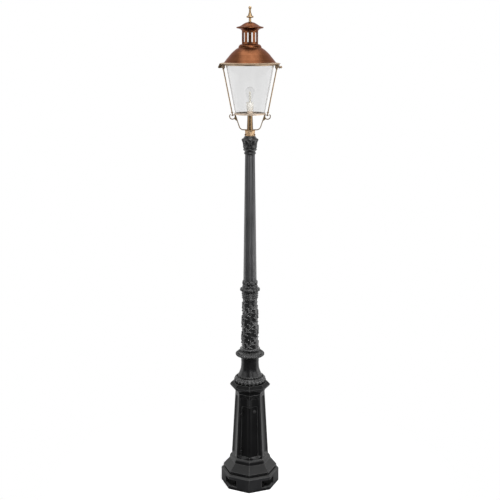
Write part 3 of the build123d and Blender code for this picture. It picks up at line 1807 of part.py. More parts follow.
wing_x = hasp_x + hasp_thickness + latch_gap
wing_out = Vector(0, cos(radians(wing_turn)), sin(radians(wing_turn)))
wing_axis = Plane(origin=(wing_x, 0, stud_z), x_dir=wing_out, z_dir=(1, 0, 0))
wing_blade = Plane(origin=wing_axis.origin, x_dir=wing_out, z_dir=-wing_axis.y_dir)
with BuildPart() as wing_nut:
    with BuildSketch(wing_axis):
        Circle(wing_hub_radius)
    with BuildSketch(wing_axis.offset(wing_hub_length)):
        Circle(wing_hub_tip_radius)
    loft()
    with BuildSketch(wing_blade.offset(-wing_thickness / 2)):
        for side in (-1, 1):
            with Locations((side * wing_tip_share * wing_span_radius, wing_tip_share * wing_length)):
                Ellipse(wing_tip_size * wing_span_radius, wing_tip_size * wing_length)
            with BuildLine():
                Polyline(
                    (0, 0),
                    (side * wing_hub_radius, 0),
                    (side * wing_edge_out * wing_span_radius, wing_edge_rise * wing_length),
                    (side * wing_inside_out * wing_span_radius, wing_inside_rise * wing_length),
                    (0, wing_root_rise * wing_length),
                    close=True,
                )
            make_face()
    extrude(amount=wing_thickness)
    with BuildSketch(wing_axis):
        Circle(latch_stud_radius + pin_clearance)
    extrude(amount=2 * wing_length, mode=Mode.SUBTRACT)
finish(wing_nut, "wing_nut")

# Joint axes
print("door hinge axis", tuple(hinge_low), tuple(axis_line))
print("lock axis", tuple(lock_foot), tuple(lock_normal))
print("roof pivot", (-hinge_from_axis, 0, pivot_z))
print("wing nut axis", (wing_x, 0, stud_z))
print("bulb axis from", bulb_tip_bottom, "top of finial", ball_middle + finial_ball_radius)
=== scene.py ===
"""Looks of the lamp post: relief castings, spun copper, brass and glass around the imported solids."""
import json
import math

import bpy
import numpy as np
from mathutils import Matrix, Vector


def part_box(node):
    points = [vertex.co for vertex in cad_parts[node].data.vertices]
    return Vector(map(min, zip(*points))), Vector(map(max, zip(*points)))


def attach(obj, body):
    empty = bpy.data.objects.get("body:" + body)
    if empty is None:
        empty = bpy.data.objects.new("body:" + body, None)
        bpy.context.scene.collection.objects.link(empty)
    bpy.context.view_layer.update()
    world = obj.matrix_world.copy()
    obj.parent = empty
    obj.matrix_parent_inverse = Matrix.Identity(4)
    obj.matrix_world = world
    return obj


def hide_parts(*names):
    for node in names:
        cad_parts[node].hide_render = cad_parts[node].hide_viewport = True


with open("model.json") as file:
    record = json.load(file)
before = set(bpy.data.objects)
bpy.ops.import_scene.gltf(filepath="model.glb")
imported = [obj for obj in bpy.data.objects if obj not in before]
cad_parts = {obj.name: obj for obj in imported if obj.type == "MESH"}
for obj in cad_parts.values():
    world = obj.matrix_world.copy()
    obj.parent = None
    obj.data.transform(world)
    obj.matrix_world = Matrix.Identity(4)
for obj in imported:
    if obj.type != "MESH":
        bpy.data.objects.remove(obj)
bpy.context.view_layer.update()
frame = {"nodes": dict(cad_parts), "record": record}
nodes = frame["nodes"]
slot_of = {part["node"]: part["material_slot"] for part in frame["record"]["subparts"]}

MM = 0.001
TURN = 2 * math.pi


# Node materials

# Near-black grey for painted shade in pits, under overhangs and inside the plinth
painted_shade_grey = 0.002
# Pale grey for eased edges: partly paint wear, partly painted highlight
edge_wear_highlight_grey = 0.11
crest_width = 0.033


def grey(value):
    return (value, value, value, 1.0)


class Look:
    """A node material with one Principled shader, and short calls that add nodes to it."""

    def __init__(self, name):
        self.material = bpy.data.materials.new(name)
        self.material.use_nodes = True
        self.tree = self.material.node_tree
        self.shader = self.tree.nodes["Principled BSDF"]
        self.output = self.tree.nodes["Material Output"]
        self.place = self.add("ShaderNodeTexCoord").outputs["Object"]

    def add(self, kind, **settings):
        node = self.tree.nodes.new(kind)
        for key, value in settings.items():
            setattr(node, key, value)
        return node

    def join(self, source, target):
        self.tree.links.new(source, target)

    def set(self, **values):
        for name, value in values.items():
            self.shader.inputs[name.replace("_", " ")].default_value = value

    def stretched(self, scale):
        mapping = self.add("ShaderNodeMapping")
        mapping.inputs["Scale"].default_value = scale
        self.join(self.place, mapping.inputs["Vector"])
        return mapping.outputs["Vector"]

    def noise(self, scale, detail=4.0, rough=0.55, place=None):
        noise = self.add("ShaderNodeTexNoise")
        noise.inputs["Scale"].default_value = scale
        noise.inputs["Detail"].default_value = detail
        noise.inputs["Roughness"].default_value = rough
        self.join(self.place if place is None else place, noise.inputs["Vector"])
        return noise.outputs["Fac"]

    def ramp(self, fac, stops):
        ramp = self.add("ShaderNodeValToRGB")
        elements = ramp.color_ramp.elements
        for index, (position, colour) in enumerate(stops):
            element = elements[index] if index < 2 else elements.new(position)
            element.position = position
            element.color = (*colour, 1.0)
        self.join(fac, ramp.inputs["Fac"])
        return ramp.outputs["Color"]

    def mix(self, fac, first, second, blend="MIX"):
        mix = self.add("ShaderNodeMix", data_type="RGBA", blend_type=blend)
        colour_sockets = (mix.inputs[6], mix.inputs[7])
        for socket, value in zip((mix.inputs["Factor"], *colour_sockets), (fac, first, second)):
            if isinstance(value, bpy.types.NodeSocket):
                self.join(value, socket)
            else:
                socket.default_value = value
        return mix.outputs[2]

    def spread(self, value, low, high, from_low=0.0, from_high=1.0):
        spread = self.add("ShaderNodeMapRange")
        spread.inputs["From Min"].default_value = from_low
        spread.inputs["From Max"].default_value = from_high
        spread.inputs["To Min"].default_value = low
        spread.inputs["To Max"].default_value = high
        self.join(value, spread.inputs["Value"])
        return spread.outputs["Result"]

    def colour(self, socket):
        self.join(socket, self.shader.inputs["Base Color"])

    def roughness(self, fac, low, high):
        self.join(self.spread(fac, low, high), self.shader.inputs["Roughness"])

    def eased(self, radius):
        """Normal that rounds sharp edges off by a radius in millimetres."""
        bevel = self.add("ShaderNodeBevel", samples=6)
        bevel.inputs["Radius"].default_value = radius * MM
        return bevel.outputs["Normal"]

    def bump(self, *layers, normal=None):
        """Bump layers of (height socket, strength, distance in millimetres), one on another."""
        for height, strength, distance in layers:
            bump = self.add("ShaderNodeBump")
            bump.inputs["Strength"].default_value = strength
            bump.inputs["Distance"].default_value = distance * MM
            self.join(height, bump.inputs["Height"])
            if normal is not None:
                self.join(normal, bump.inputs["Normal"])
            normal = bump.outputs["Normal"]
        self.join(normal, self.shader.inputs["Normal"])

    def open_air(self, distance):
        """1 on open surfaces, and less in pits and under overhangs within a distance in millimetres."""
        nearby = self.add("ShaderNodeAmbientOcclusion", samples=8)
        nearby.inputs["Distance"].default_value = distance * MM
        return nearby.outputs["AO"]

    def raised(self, low, high):
        """1 on the outer curves of a dense mesh, and 0 on flat and hollow places."""
        return self.spread(self.add("ShaderNodeNewGeometry").outputs["Pointiness"], 0.0, 1.0, low, high)

    def edge_mask(self, normal):
        """1 where a rounded normal leaves the face's own normal, and 0 on flat faces."""
        face = self.add("ShaderNodeNewGeometry").outputs["Normal"]
        match = self.add("ShaderNodeVectorMath", operation="DOT_PRODUCT")
        self.join(normal, match.inputs[0])
        self.join(face, match.inputs[1])
        return self.spread(match.outputs["Value"], 1.0, 0.0, 0.93, 0.995)

    def outside(self, radius):
        """0 nearer to the post's axis than a radius in millimetres, and 1 further out."""
        flat = self.add("ShaderNodeVectorMath", operation="MULTIPLY")
        flat.inputs[1].default_value = (1.0, 1.0, 0.0)
        self.join(self.place, flat.inputs[0])
        reach = self.add("ShaderNodeVectorMath", operation="LENGTH")
        self.join(flat.outputs["Vector"], reach.inputs[0])
        return self.spread(reach.outputs["Value"], 0.0, 1.0, (radius - 3.0) * MM, (radius + 3.0) * MM)

    def upward(self, low, high):
        """1 on surfaces that face up and 0 on the rest."""
        normal = self.add("ShaderNodeNewGeometry").outputs["Normal"]
        parts = self.add("ShaderNodeSeparateXYZ")
        self.join(normal, parts.inputs["Vector"])
        return self.spread(parts.outputs["Z"], 0.0, 1.0, low, high)


def cast_paint(name, dark, light, dust_and_top_light, gloss, pit, edge=0.0, crest_wear_highlight=0.0, shade_inside=0.0, crest=0.512):
    """Satin paint on sand-cast iron between two greys. Faces that point up turn paler, partly dust and
    partly painted light from above; pits and places under overhangs take painted shade, near black; eased
    edges and raised crests turn paler, partly paint wear and partly painted highlight.
    """
    look = Look(name)
    broad = look.noise(9.0, 6.0)
    grain = look.noise(520.0, 3.0)
    paint = look.ramp(broad, ((0.3, (dark, dark, 1.06 * dark)), (0.7, (light, light, 1.04 * light))))
    # Faces that point up are mixed to a paler grey: partly dust, partly painted light from above
    paint = look.mix(look.upward(0.35, 1.1), paint, (dust_and_top_light, dust_and_top_light, 0.97 * dust_and_top_light, 1.0))
    # Raised crests of dense relief turn paler: partly rubbed paint, partly painted highlight
    if crest_wear_highlight:
        paint = look.mix(look.raised(crest, crest + crest_width), paint, grey(crest_wear_highlight))
    normal = None
    # Eased edges turn a paler grey: partly paint wear, partly painted highlight along the edges
    if edge:
        normal = look.eased(edge)
        paint = look.mix(look.edge_mask(normal), paint, grey(edge_wear_highlight_grey))
    # Painted shade: pits and places under overhangs go near black
    pit_shade = look.spread(look.open_air(pit), 0.0, 1.0, 0.35, 0.95)
    paint = look.mix(pit_shade, grey(painted_shade_grey), paint)
    # Painted shade: near black inside a radius from the axis, where the hollow of the plinth lies in shade
    if shade_inside:
        paint = look.mix(look.outside(shade_inside), grey(painted_shade_grey), paint)
    look.colour(paint)
    look.roughness(look.noise(45.0, 5.0), 0.26, 0.4)
    look.bump((broad, 0.05, 4.0), (grain, 0.16, 0.5), normal=normal)
    look.set(Specular_IOR_Level=gloss)
    return look.material


def spun_copper():
    """Copper sheet, browned in patches, with fine rings from spinning."""
    look = Look("spun_copper")
    rings = look.noise(1.0, 5.0, 0.7, look.stretched((2.0, 2.0, 520.0)))
    runs = look.noise(1.0, 5.0, 0.6, look.stretched((38.0, 38.0, 5.0)))
    patches = look.noise(11.0, 6.0)
    copper = look.ramp(runs, ((0.25, (0.17, 0.064, 0.028)), (0.75, (0.24, 0.098, 0.046))))
    dark = look.ramp(patches, ((0.35, (0.78, 0.76, 0.75)), (0.65, (1.0, 1.0, 1.0))))
    lines = look.ramp(rings, ((0.35, (0.55, 0.52, 0.5)), (0.65, (1.0, 1.0, 1.0))))
    look.colour(look.mix(1.0, look.mix(1.0, copper, dark, "MULTIPLY"), lines, "MULTIPLY"))
    look.roughness(rings, 0.26, 0.44)
    look.bump((rings, 0.2, 0.25))
    look.set(Metallic=1.0, Specular_Tint=(0.86, 0.68, 0.66, 1.0))
    return look.material


def old_brass(name, dark, light, smooth=0.36):
    """Cast and turned brass, toned brown between two colours."""
    look = Look(name)
    patches = look.noise(22.0, 6.0)
    fine = look.noise(420.0, 4.0)
    look.colour(look.ramp(patches, ((0.3, dark), (0.7, light))))
    look.roughness(look.noise(90.0, 5.0), smooth, smooth + 0.18)
    look.bump((fine, 0.1, 0.2))
    look.set(Metallic=1.0)
    return look.material


def galvanised_steel():
    """Zinc-coated steel with its spangle."""
    look = Look("galvanised_steel")
    spangle = look.add("ShaderNodeTexVoronoi")
    spangle.inputs["Scale"].default_value = 160.0
    look.join(look.place, spangle.inputs["Vector"])
    zinc = look.ramp(spangle.outputs["Distance"], ((0.0, (0.33, 0.34, 0.35)), (0.6, (0.55, 0.56, 0.57))))
    look.colour(zinc)
    look.roughness(look.noise(70.0), 0.3, 0.5)
    look.bump((look.noise(500.0), 0.08, 0.2))
    look.set(Metallic=1.0)
    return look.material


def nickel():
    """Plated brass, turned in fine rings."""
    look = Look("nickel_plate")
    rings = look.noise(1.0, 3.0, 0.6, look.stretched((6.0, 6.0, 900.0)))
    look.colour(look.ramp(rings, ((0.3, (0.5, 0.49, 0.46)), (0.7, (0.72, 0.71, 0.68)))))
    look.roughness(rings, 0.18, 0.34)
    look.set(Metallic=1.0)
    return look.material


def clear_glass(name, dark, light, rim):
    """Clear glass between two faint tints, darker where seen edge-on; lamps shine through it."""
    look = Look(name)
    film = look.noise(1.0, 6.0, 0.6, look.stretched((26.0, 26.0, 2.5)))
    tint = look.ramp(film, ((0.3, (dark, dark, dark)), (0.7, (light, light, light))))
    edge_on = look.spread(look.add("ShaderNodeLayerWeight").outputs["Facing"], 0.0, 1.0, 0.66, 0.9)
    look.colour(look.mix(edge_on, tint, grey(rim)))
    look.set(Transmission_Weight=1.0, Roughness=0.02, IOR=1.33)
    clear = look.add("ShaderNodeBsdfTransparent")
    pick = look.add("ShaderNodeMixShader")
    look.join(look.add("ShaderNodeLightPath").outputs["Is Shadow Ray"], pick.inputs["Fac"])
    look.join(look.shader.outputs["BSDF"], pick.inputs[1])
    look.join(clear.outputs["BSDF"], pick.inputs[2])
    look.join(pick.outputs["Shader"], look.output.inputs["Surface"])
    return look.material


def porcelain():
    """Glazed white lampholder body, a little stained."""
    look = Look("glazed_porcelain")
    stain = look.noise(40.0, 5.0)
    look.colour(look.ramp(stain, ((0.35, (0.8, 0.78, 0.72)), (0.65, (0.86, 0.84, 0.79)))))
    look.roughness(look.noise(120.0), 0.28, 0.42)
    look.bump((stain, 0.04, 0.4))
    return look.material


def matte(name, first, second, low, high):
    """Plain moulded surface between two close colours."""
    look = Look(name)
    look.colour(look.ramp(look.noise(60.0, 5.0), ((0.35, first), (0.65, second))))
    look.roughness(look.noise(150.0), low, high)
    look.bump((look.noise(900.0, 2.0), 0.1, 0.15))
    return look.material


slot_looks = {
    "cast_black": cast_paint("cast_black_paint", 0.005, 0.009, dust_and_top_light=0.03, gloss=0.24, pit=30.0, edge=6.0),
    "copper_sheet": spun_copper(),
    "brass": old_brass("toned_brass", (0.14, 0.088, 0.045), (0.24, 0.16, 0.088)),
    "steel": galvanised_steel(),
    "nickel": nickel(),
    "clear_glass": clear_glass("lantern_glass", 0.855, 0.89, 0.2),
    "porcelain": porcelain(),
    "rubber": matte("gasket_rubber", (0.018, 0.018, 0.018), (0.035, 0.034, 0.033), 0.6, 0.85),
    "grey_plastic": matte("moulded_grey", (0.36, 0.37, 0.38), (0.43, 0.44, 0.45), 0.45, 0.65),
    "filament": matte("filament_coat", (0.76, 0.7, 0.55), (0.82, 0.77, 0.64), 0.5, 0.7),
}
# The cornice takes a copy of the paint with a darker top: painted shade on its upper slope under the leaf
# ring
cornice_paint = cast_paint("cast_black_cornice", 0.005, 0.009, dust_and_top_light=0.012, gloss=0.1, pit=30.0, edge=7.0)
door_paint = cast_paint("cast_black_door", 0.005, 0.009, dust_and_top_light=0.024, gloss=0.2, pit=12.0)
# The plinth takes a paler copy of the paint: painted light off the floor on its walls, and painted shade
# inside
plinth_paint = cast_paint(
    "cast_black_foot", 0.026, 0.042, dust_and_top_light=0.055, gloss=0.12, pit=30.0, edge=6.0, shade_inside=172.0
)
# The bell takes a copy with a much paler top, for painted light on its upturned foot, and wide pits, for
# painted shade under the disc
bell_paint = cast_paint("cast_black_bell", 0.007, 0.013, dust_and_top_light=0.1, gloss=0.26, pit=90.0)
column_paint = cast_paint("cast_black_relief", 0.006, 0.013, dust_and_top_light=0.045, gloss=0.5, pit=12.0, crest_wear_highlight=0.18)
disc_paint = cast_paint(
    "cast_black_disc", 0.006, 0.013, dust_and_top_light=0.045, gloss=0.5, pit=12.0, crest_wear_highlight=0.3, crest=0.53
)
# The shaft takes a paler grey than the other castings
shaft_paint = cast_paint("cast_black_pale", 0.03, 0.05, dust_and_top_light=0.08, gloss=0.5, pit=12.0)
bulb_look = clear_glass("bulb_glass", 0.955, 0.975, 0.93)
rod_brass = old_brass("bright_brass", (0.27, 0.18, 0.095), (0.44, 0.31, 0.18))
pale_brass = old_brass("pale_brass", (0.3, 0.215, 0.14), (0.48, 0.36, 0.25), smooth=0.45)
# The gallery takes a pale copy of the brass: painted reflection of the white surround in its dish
gallery_brass = old_brass("gallery_brass", (0.5, 0.4, 0.31), (0.7, 0.59, 0.48), smooth=0.5)
# The socket takes a paler copy of the brass for painted light: it sits further below the dish than the
# stem, which stays in shade
socket_brass = old_brass("lit_socket_brass", (0.45, 0.3, 0.17), (0.62, 0.45, 0.28), smooth=0.5)
node_looks = {name: slot_looks[slot_of[name]] for name in nodes}
own_looks = (
    (plinth_paint, ("base_plinth",)),
    (disc_paint, ("joint_disc",)),
    (door_paint, ("access_door",)),
    (cornice_paint, ("cornice",)),
    (bell_paint, ("neck_bell",)),
    (column_paint, ("leaf_ring", "column", "column_collar", "capital")),
    (shaft_paint, ("shaft",)),
    (socket_brass, ("lantern_socket",)),
    (rod_brass, ("tie_rod_left", "tie_rod_right", "yoke_arm_left", "yoke_arm_right", "rod_nuts", "finial")),
    (gallery_brass, ("bottom_gallery",)),
    (pale_brass, ("top_ring", "roof_brim")),
    (bulb_look, ("bulb_glass",)),
)
for look, names in own_looks:
    node_looks.update(dict.fromkeys(names, look))
for name, node in nodes.items():
    node.data.materials.clear()
    node.data.materials.append(node_looks[name])


# Turned pieces with relief

def arc_lengths(profile):
    """Length along a curve at each of its points."""
    return np.concatenate([[0.0], np.cumsum(np.hypot(*np.diff(profile, axis=0).T))])


def smooth_profile(foot, points, step):
    """Points about a step apart on a smooth curve through (radius, height above the foot) points."""
    points = np.array(points, float) + (0.0, foot)
    padded = np.vstack([2 * points[:1] - points[1:2], points, 2 * points[-1:] - points[-2:-1]])
    pieces = []
    for before, start, end, after in zip(padded, padded[1:], padded[2:], padded[3:]):
        count = max(4, int(4 * np.hypot(*(end - start)) / step))
        share = np.linspace(0, 1, count, endpoint=False)[:, None]
        bend = 2 * before - 5 * start + 4 * end - after
        twist = 3 * start - before - 3 * end + after
        pieces.append(0.5 * (2 * start + (end - before) * share + bend * share**2 + twist * share**3))
    curve = np.vstack(pieces + [points[-1:]])
    length = arc_lengths(curve)
    even = np.linspace(0, length[-1], max(3, int(length[-1] / step)))
    return np.stack([np.interp(even, length, curve[:, 0]), np.interp(even, length, curve[:, 1])], 1)


def build(name, vertices, faces, node, body):
    """A smooth mesh piece that stands for a CAD node and takes its material."""
    mesh = bpy.data.meshes.new(name)
    mesh.from_pydata((np.asarray(vertices) * MM).tolist(), [], faces)
    mesh.polygons.foreach_set("use_smooth", [True] * len(mesh.polygons))
    mesh.set_sharp_from_angle(angle=math.radians(50))
    mesh.materials.append(node_looks[node])
    piece = bpy.data.objects.new(name, mesh)
    bpy.context.scene.collection.objects.link(piece)
    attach(piece, body)
    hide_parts(node)
    return piece


def ring_faces(rows, segments):
    """Quads between neighbouring rings of a closed loop of rings."""
    faces = []
    for row in range(rows):
        above = (row + 1) % rows
        for spot in range(segments):
            beside = (spot + 1) % segments
            faces.append(
                (
                    row * segments + spot,
                    row * segments + beside,
                    above * segments + beside,
                    above * segments + spot,
                )
            )
    return faces


def turned_relief(name, node, profile, bore, relief, segments, body="post"):
    """Closed turned piece with a bore, whose outside is lifted by relief(angle, radius, arc length)."""
    slope = np.gradient(profile, axis=0)
    outward = np.stack([slope[:, 1], -slope[:, 0]], 1)
    outward /= np.linalg.norm(outward, axis=1, keepdims=True)
    arc = arc_lengths(profile)
    angle = np.arange(segments) * TURN / segments
    lift = relief(angle[None, :], profile[:, :1], arc[:, None]) * np.ones((len(profile), segments))
    radius = profile[:, :1] + outward[:, :1] * lift
    height = profile[:, 1:] + outward[:, 1:] * lift
    bottom = (np.full((1, segments), bore), np.full((1, segments), profile[0, 1]))
    top = (np.full((1, segments), bore), np.full((1, segments), profile[-1, 1]))
    radius = np.vstack([bottom[0], radius, top[0]])
    height = np.vstack([bottom[1], height, top[1]])
    vertices = np.stack([radius * np.cos(angle), radius * np.sin(angle), height], -1).reshape(-1, 3)
    return build(name, vertices, ring_faces(len(radius), segments), node, body)


def fade(value, low, high, soft):
    """1 between two limits and 0 outside them, with soft ends."""
    rise = np.clip((value - low) / soft, 0, 1)
    fall = np.clip((high - value) / soft, 0, 1)
    return rise * rise * (3 - 2 * rise) * fall * fall * (3 - 2 * fall)


def leaf(along, across, length, width, lobes):
    """Height, from 0 to about 1, of a veined leaf with a lobed edge that runs from 0 to its length."""
    share = np.clip(along / length, 0.0, 1.0)
    edge = 1 - 0.25 * np.abs(np.sin(math.pi * lobes * share))
    half = np.maximum(0.5 * width * np.sin(math.pi * share**0.7) * edge, 1e-6)
    flank = 1 - np.clip(np.abs(across) / half, 0.0, 1.0) ** 3
    vein = np.exp(-((across / (0.09 * width)) ** 2))
    ribs = np.cos(TURN * (lobes * share - 1.2 * np.abs(across) / width))
    height = flank * (0.7 + 0.13 * ribs + 0.2 * vein)
    return np.where((along > 0) & (along < length), height, 0.0)


def stamped_leaf(angle, radius, arc, centre, root, turn, length, width, lobes):
    """A leaf laid on a turned surface, with its root at an angle and arc length, turned from upright."""
    sideways = radius * ((angle - centre + math.pi) % TURN - math.pi)
    upward = arc - root
    along = upward * math.cos(turn) + sideways * math.sin(turn)
    across = sideways * math.cos(turn) - upward * math.sin(turn)
    return leaf(along, across, length, width, lobes)


def span(node):
    """Height of a CAD node's foot, and how tall it is, in millimetres."""
    low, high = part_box(node)
    return low.z / MM, (high.z - low.z) / MM


def between(angle, count):
    """0 at equal places round the axis, the first at the front, and 1 half-way between them."""
    return 2 * np.abs(((angle / TURN + 0.25) * count + 0.5) % 1.0 - 0.5)


def dent(value, width):
    """Soft hump of height 1 where a value is 0."""
    return np.exp(-((value / width) ** 2))


def hanging_leaves(across, share):
    """Pointed leaves side by side; across is 0 on a midrib and 1 between leaves, share runs down a leaf."""
    edge = 1.05 - np.clip((share - 0.3) / 0.7, 0.0, None) ** 1.4
    blade = np.clip((edge - across) / 0.24, 0.0, 1.0) ** 0.7
    midrib = np.clip(1 - across / 0.2, 0.0, 1.0)
    return blade * (0.82 + 0.18 * midrib) * (share > 0)


# Leaf ring above the cornice: two rows of hanging leaves with deep pits between their tips
ring_low, ring_tall = span("leaf_ring")
ring_profile = smooth_profile(
    ring_low,
    [
        (94.0, 0),
        (96.5, 3),
        (101.0, 9),
        (100.5, 17),
        (95.5, 25),
        (90.0, 30),
        (86.0, ring_tall),
    ],
    0.8,
)
ring_leaves = 24
ring_depth = 10.5
ring_lip = 2.0
over_leaf_length = 36.0
under_leaf_length = 43.0


def ring_relief(angle, radius, arc):
    down = arc_lengths(ring_profile)[-1] - ring_lip - arc
    across = between(angle, ring_leaves)
    over = hanging_leaves(across, down / over_leaf_length)
    under = 0.45 * hanging_leaves(1 - across, down / under_leaf_length)
    foot = 0.55 * dent(arc - 1.5, 2.0)
    return ring_depth * np.maximum(np.maximum(over, under), foot)


turned_relief("leaf_ring_cast", "leaf_ring", ring_profile, 60.0, ring_relief, 720)

# Bell-shaped neck, with a ruffle of small leaf tips along its foot and a faint step near its head
bell_low, bell_tall = span("neck_bell")
bell_profile = smooth_profile(
    bell_low,
    [
        (86.0, 0),
        (84.5, 8),
        (79.0, 23),
        (72.0, 41),
        (66.5, 57),
        (63.4, 74),
        (61.6, 98),
        (60.8, 122),
        (60.6, bell_tall),
    ],
    1.2,
)
bell_tips = 26
tip_start = 22.0
tip_length = 21.0
tip_depth = 3.6
step_start = 118.0
step_depth = 1.2


def bell_relief(angle, radius, arc):
    tips = hanging_leaves(between(angle, bell_tips), (tip_start - arc) / tip_length)
    step = fade(arc, step_start, 200.0, 3.0)
    return tip_depth * tips * fade(arc, -5.0, tip_length, 8.0) + step_depth * step


turned_relief("neck_bell_cast", "neck_bell", bell_profile, 45.0, bell_relief, 540)

# Disc between neck and column: beaded rim and slope, a recess, and a smooth base ring above
disc_low, disc_tall = span("joint_disc")
disc_profile = smooth_profile(
    disc_low,
    [
        (61.0, 0),
        (62.0, 5),
        (69.0, 12),
        (84.0, 19),
        (94.5, 23),
        (97.4, 26.5),
        (95.6, 30.5),
        (88.0, 37),
        (78.0, 44),
        (69.0, 49.5),
        (63.0, 53),
        (62.0, 56),
        (65.0, 58.5),
        (69.6, 61),
        (70.6, 65),
        (68.5, 69.5),
        (63.5, disc_tall),
    ],
    0.8,
)
disc_beads = 40
disc_bead_depth = 3.4
slope_leaf_depth = 4.2


def disc_relief(angle, radius, arc):
    across = between(angle, disc_beads)
    beads = np.sqrt(np.clip(1 - across**2, 0.0, 1.0))
    slope = leaf(90.0 - arc, 7.0 * (1 - across), length=42.0, width=13.0, lobes=2)
    return disc_bead_depth * beads * fade(arc, 34.0, 56.0, 7.0) + slope_leaf_depth * slope


turned_relief("joint_disc_cast", "joint_disc", disc_profile, 45.0, disc_relief, 540)

# Column wound with leafy garlands that climb to the right
column_low, column_tall = span("column")
column_profile = smooth_profile(
    column_low,
    [
        (56.0, 0),
        (56.3, 50),
        (55.5, 140),
        (53.5, 230),
        (50.0, 310),
        (50.0, column_tall),
    ],
    1.2,
)
garlands = 3
garland_radius = 58.0
garland_slope = math.radians(45)
leaf_pitch = 23.0
leaf_splay = math.radians(54)
leaf_length = 35.0
leaf_width = 18.0
leaf_lobes = 3
berry_radius = 5.0
column_depth = 7.0


def column_relief(angle, radius, arc):
    lift = np.zeros(np.broadcast(angle, radius, arc).shape)
    around = TURN * garland_radius
    for index in range(garlands):
        start = TURN * index / garlands
        offset = (garland_radius * (angle - start) - arc + around / 2) % around - around / 2
        lift = np.maximum(lift, 0.8 * dent(offset * math.cos(garland_slope), 3.4))
        for climb in np.arange(-30.0, column_tall, leaf_pitch):
            centre = start + climb / garland_radius
            for side in (-1, 1):
                turn = garland_slope + side * leaf_splay
                shape = (turn, leaf_length, leaf_width, leaf_lobes)
                lift = np.maximum(lift, stamped_leaf(angle, radius, arc, centre, climb, *shape))
                sideways = radius * ((angle - centre - side * 0.27 + math.pi) % TURN - math.pi)
                distance = (sideways**2 + (arc - climb - 16.0 + side * 14.0) ** 2) / berry_radius**2
                lift = np.maximum(lift, 0.8 * np.sqrt(np.clip(1 - distance, 0.0, 1.0)))
    return column_depth * lift * fade(arc, 3.0, column_tall - 18.0, 8.0)


turned_relief("column_cast", "column", column_profile, 42.0, column_relief, 330)

# Collar: fine rings, beads, a lobed neck and a leaf crown with a valley at the front
collar_low, collar_tall = span("column_collar")
collar_ring_pitch = 14.5
collar_profile = smooth_profile(
    collar_low,
    [
        (52.0, 0),
        *[
            (radius + 1.2 * ring, collar_ring_pitch * ring + rise)
            for ring in range(3)
            for radius, rise in ((49.5, 5.5), (55.5, 8.0), (55.8, 10.0), (50.5, 17.5))
        ],
        (54.0, 52),
        (59.0, 57),
        (62.0, 63),
        (62.0, 70),
        (58.0, 76),
        (53.0, 80),
        (50.5, 86),
        (48.5, 95),
        (46.5, 100),
        (46.5, 105),
        (48.0, 112),
        (47.5, 120),
        (46.5, 127),
        (45.5, collar_tall),
    ],
    0.7,
)
collar_beads = 16
collar_lobes = 8
bead_rise = 66.5
neck_rise = 88.0
crown_rise = 115.0
collar_bead_depth = 7.0
neck_depth = 5.4
crown_depth = 8.6


def collar_relief(angle, radius, arc):
    rise = np.interp(arc, arc_lengths(collar_profile), collar_profile[:, 1] - collar_low)
    bead_half = math.pi * radius / collar_beads
    bead = ((1 - between(angle, collar_beads)) * bead_half / 11.5) ** 2 + ((rise - bead_rise) / 9.5) ** 2
    beads = np.sqrt(np.clip(1 - bead, 0.0, 1.0))
    across = 1 - between(angle, collar_lobes)
    neck = np.sqrt(np.clip(1 - (across / 0.85) ** 2 - ((rise - neck_rise) / 7.5) ** 2, 0.0, 1.0))
    crown = np.sqrt(np.clip(1 - (across / 0.92) ** 2 - ((rise - crown_rise) / 13.5) ** 2, 0.0, 1.0))
    vein = dent(across, 0.12)
    return collar_bead_depth * beads + neck_depth * neck + crown_depth * crown * (0.85 + 0.15 * vein)


turned_relief("column_collar_cast", "column_collar", collar_profile, 38.0, collar_relief, 420)

# Capital: astragal, neck, a pointed swag and six broad leaves that curl out at the lip
capital_low, capital_tall = span("capital")
capital_profile = smooth_profile(
    capital_low,
    [
        (33.4, 0),
        (36.0, 3),
        (39.6, 8),
        (39.2, 13),
        (36.0, 17.5),
        (36.0, 22),
        (39.0, 26),
        (43.5, 31),
        (45.0, 37),
        (45.0, 45),
        (44.0, 52),
        (44.0, 60),
        (44.6, 70),
        (46.0, 82),
        (47.8, 92),
        (49.0, 98),
        (48.0, 103),
        (44.5, 110),
        (40.0, 116),
        (36.5, 121),
        (36.0, capital_tall),
    ],
    0.7,
)
capital_leaves = 6
lobe_rise = 77.0
eye_depth = 5.4
swag_rise = 39.0
swag_depth = 5.6
eye_places = ((0.27, 90.0), (0.42, 77.0), (0.18, 65.0))


def capital_relief(angle, radius, arc):
    rise = np.interp(arc, arc_lengths(capital_profile), capital_profile[:, 1] - capital_low)
    valley = between(angle, capital_leaves)
    half = math.pi * radius / capital_leaves
    spread = np.sqrt(((1 - valley) * half / 23.0) ** 2 + ((rise - lobe_rise) / 31.0) ** 2)
    lobe = np.clip(3.2 * (1 - spread), 0.0, 1.0) ** 0.8
    curl = 4.4 + 4.6 * np.clip((rise - 62.0) / 36.0, 0.0, 1.0) ** 2
    lift = lobe * curl - 2.0 * fade(rise, 50.0, 104.0, 8.0)
    for share, height in eye_places:
        lift -= eye_depth * dent(np.hypot((valley - share) * half, rise - height), 2.6)
    swag = rise - swag_rise - 9.0 * np.clip(1 - valley, 0.0, 1.0) ** 1.5
    return lift - swag_depth * dent(swag, 3.6) + 1.8 * dent(swag + 7.5, 2.2)


turned_relief("capital_cast", "capital", capital_profile, 24.65, capital_relief, 480)


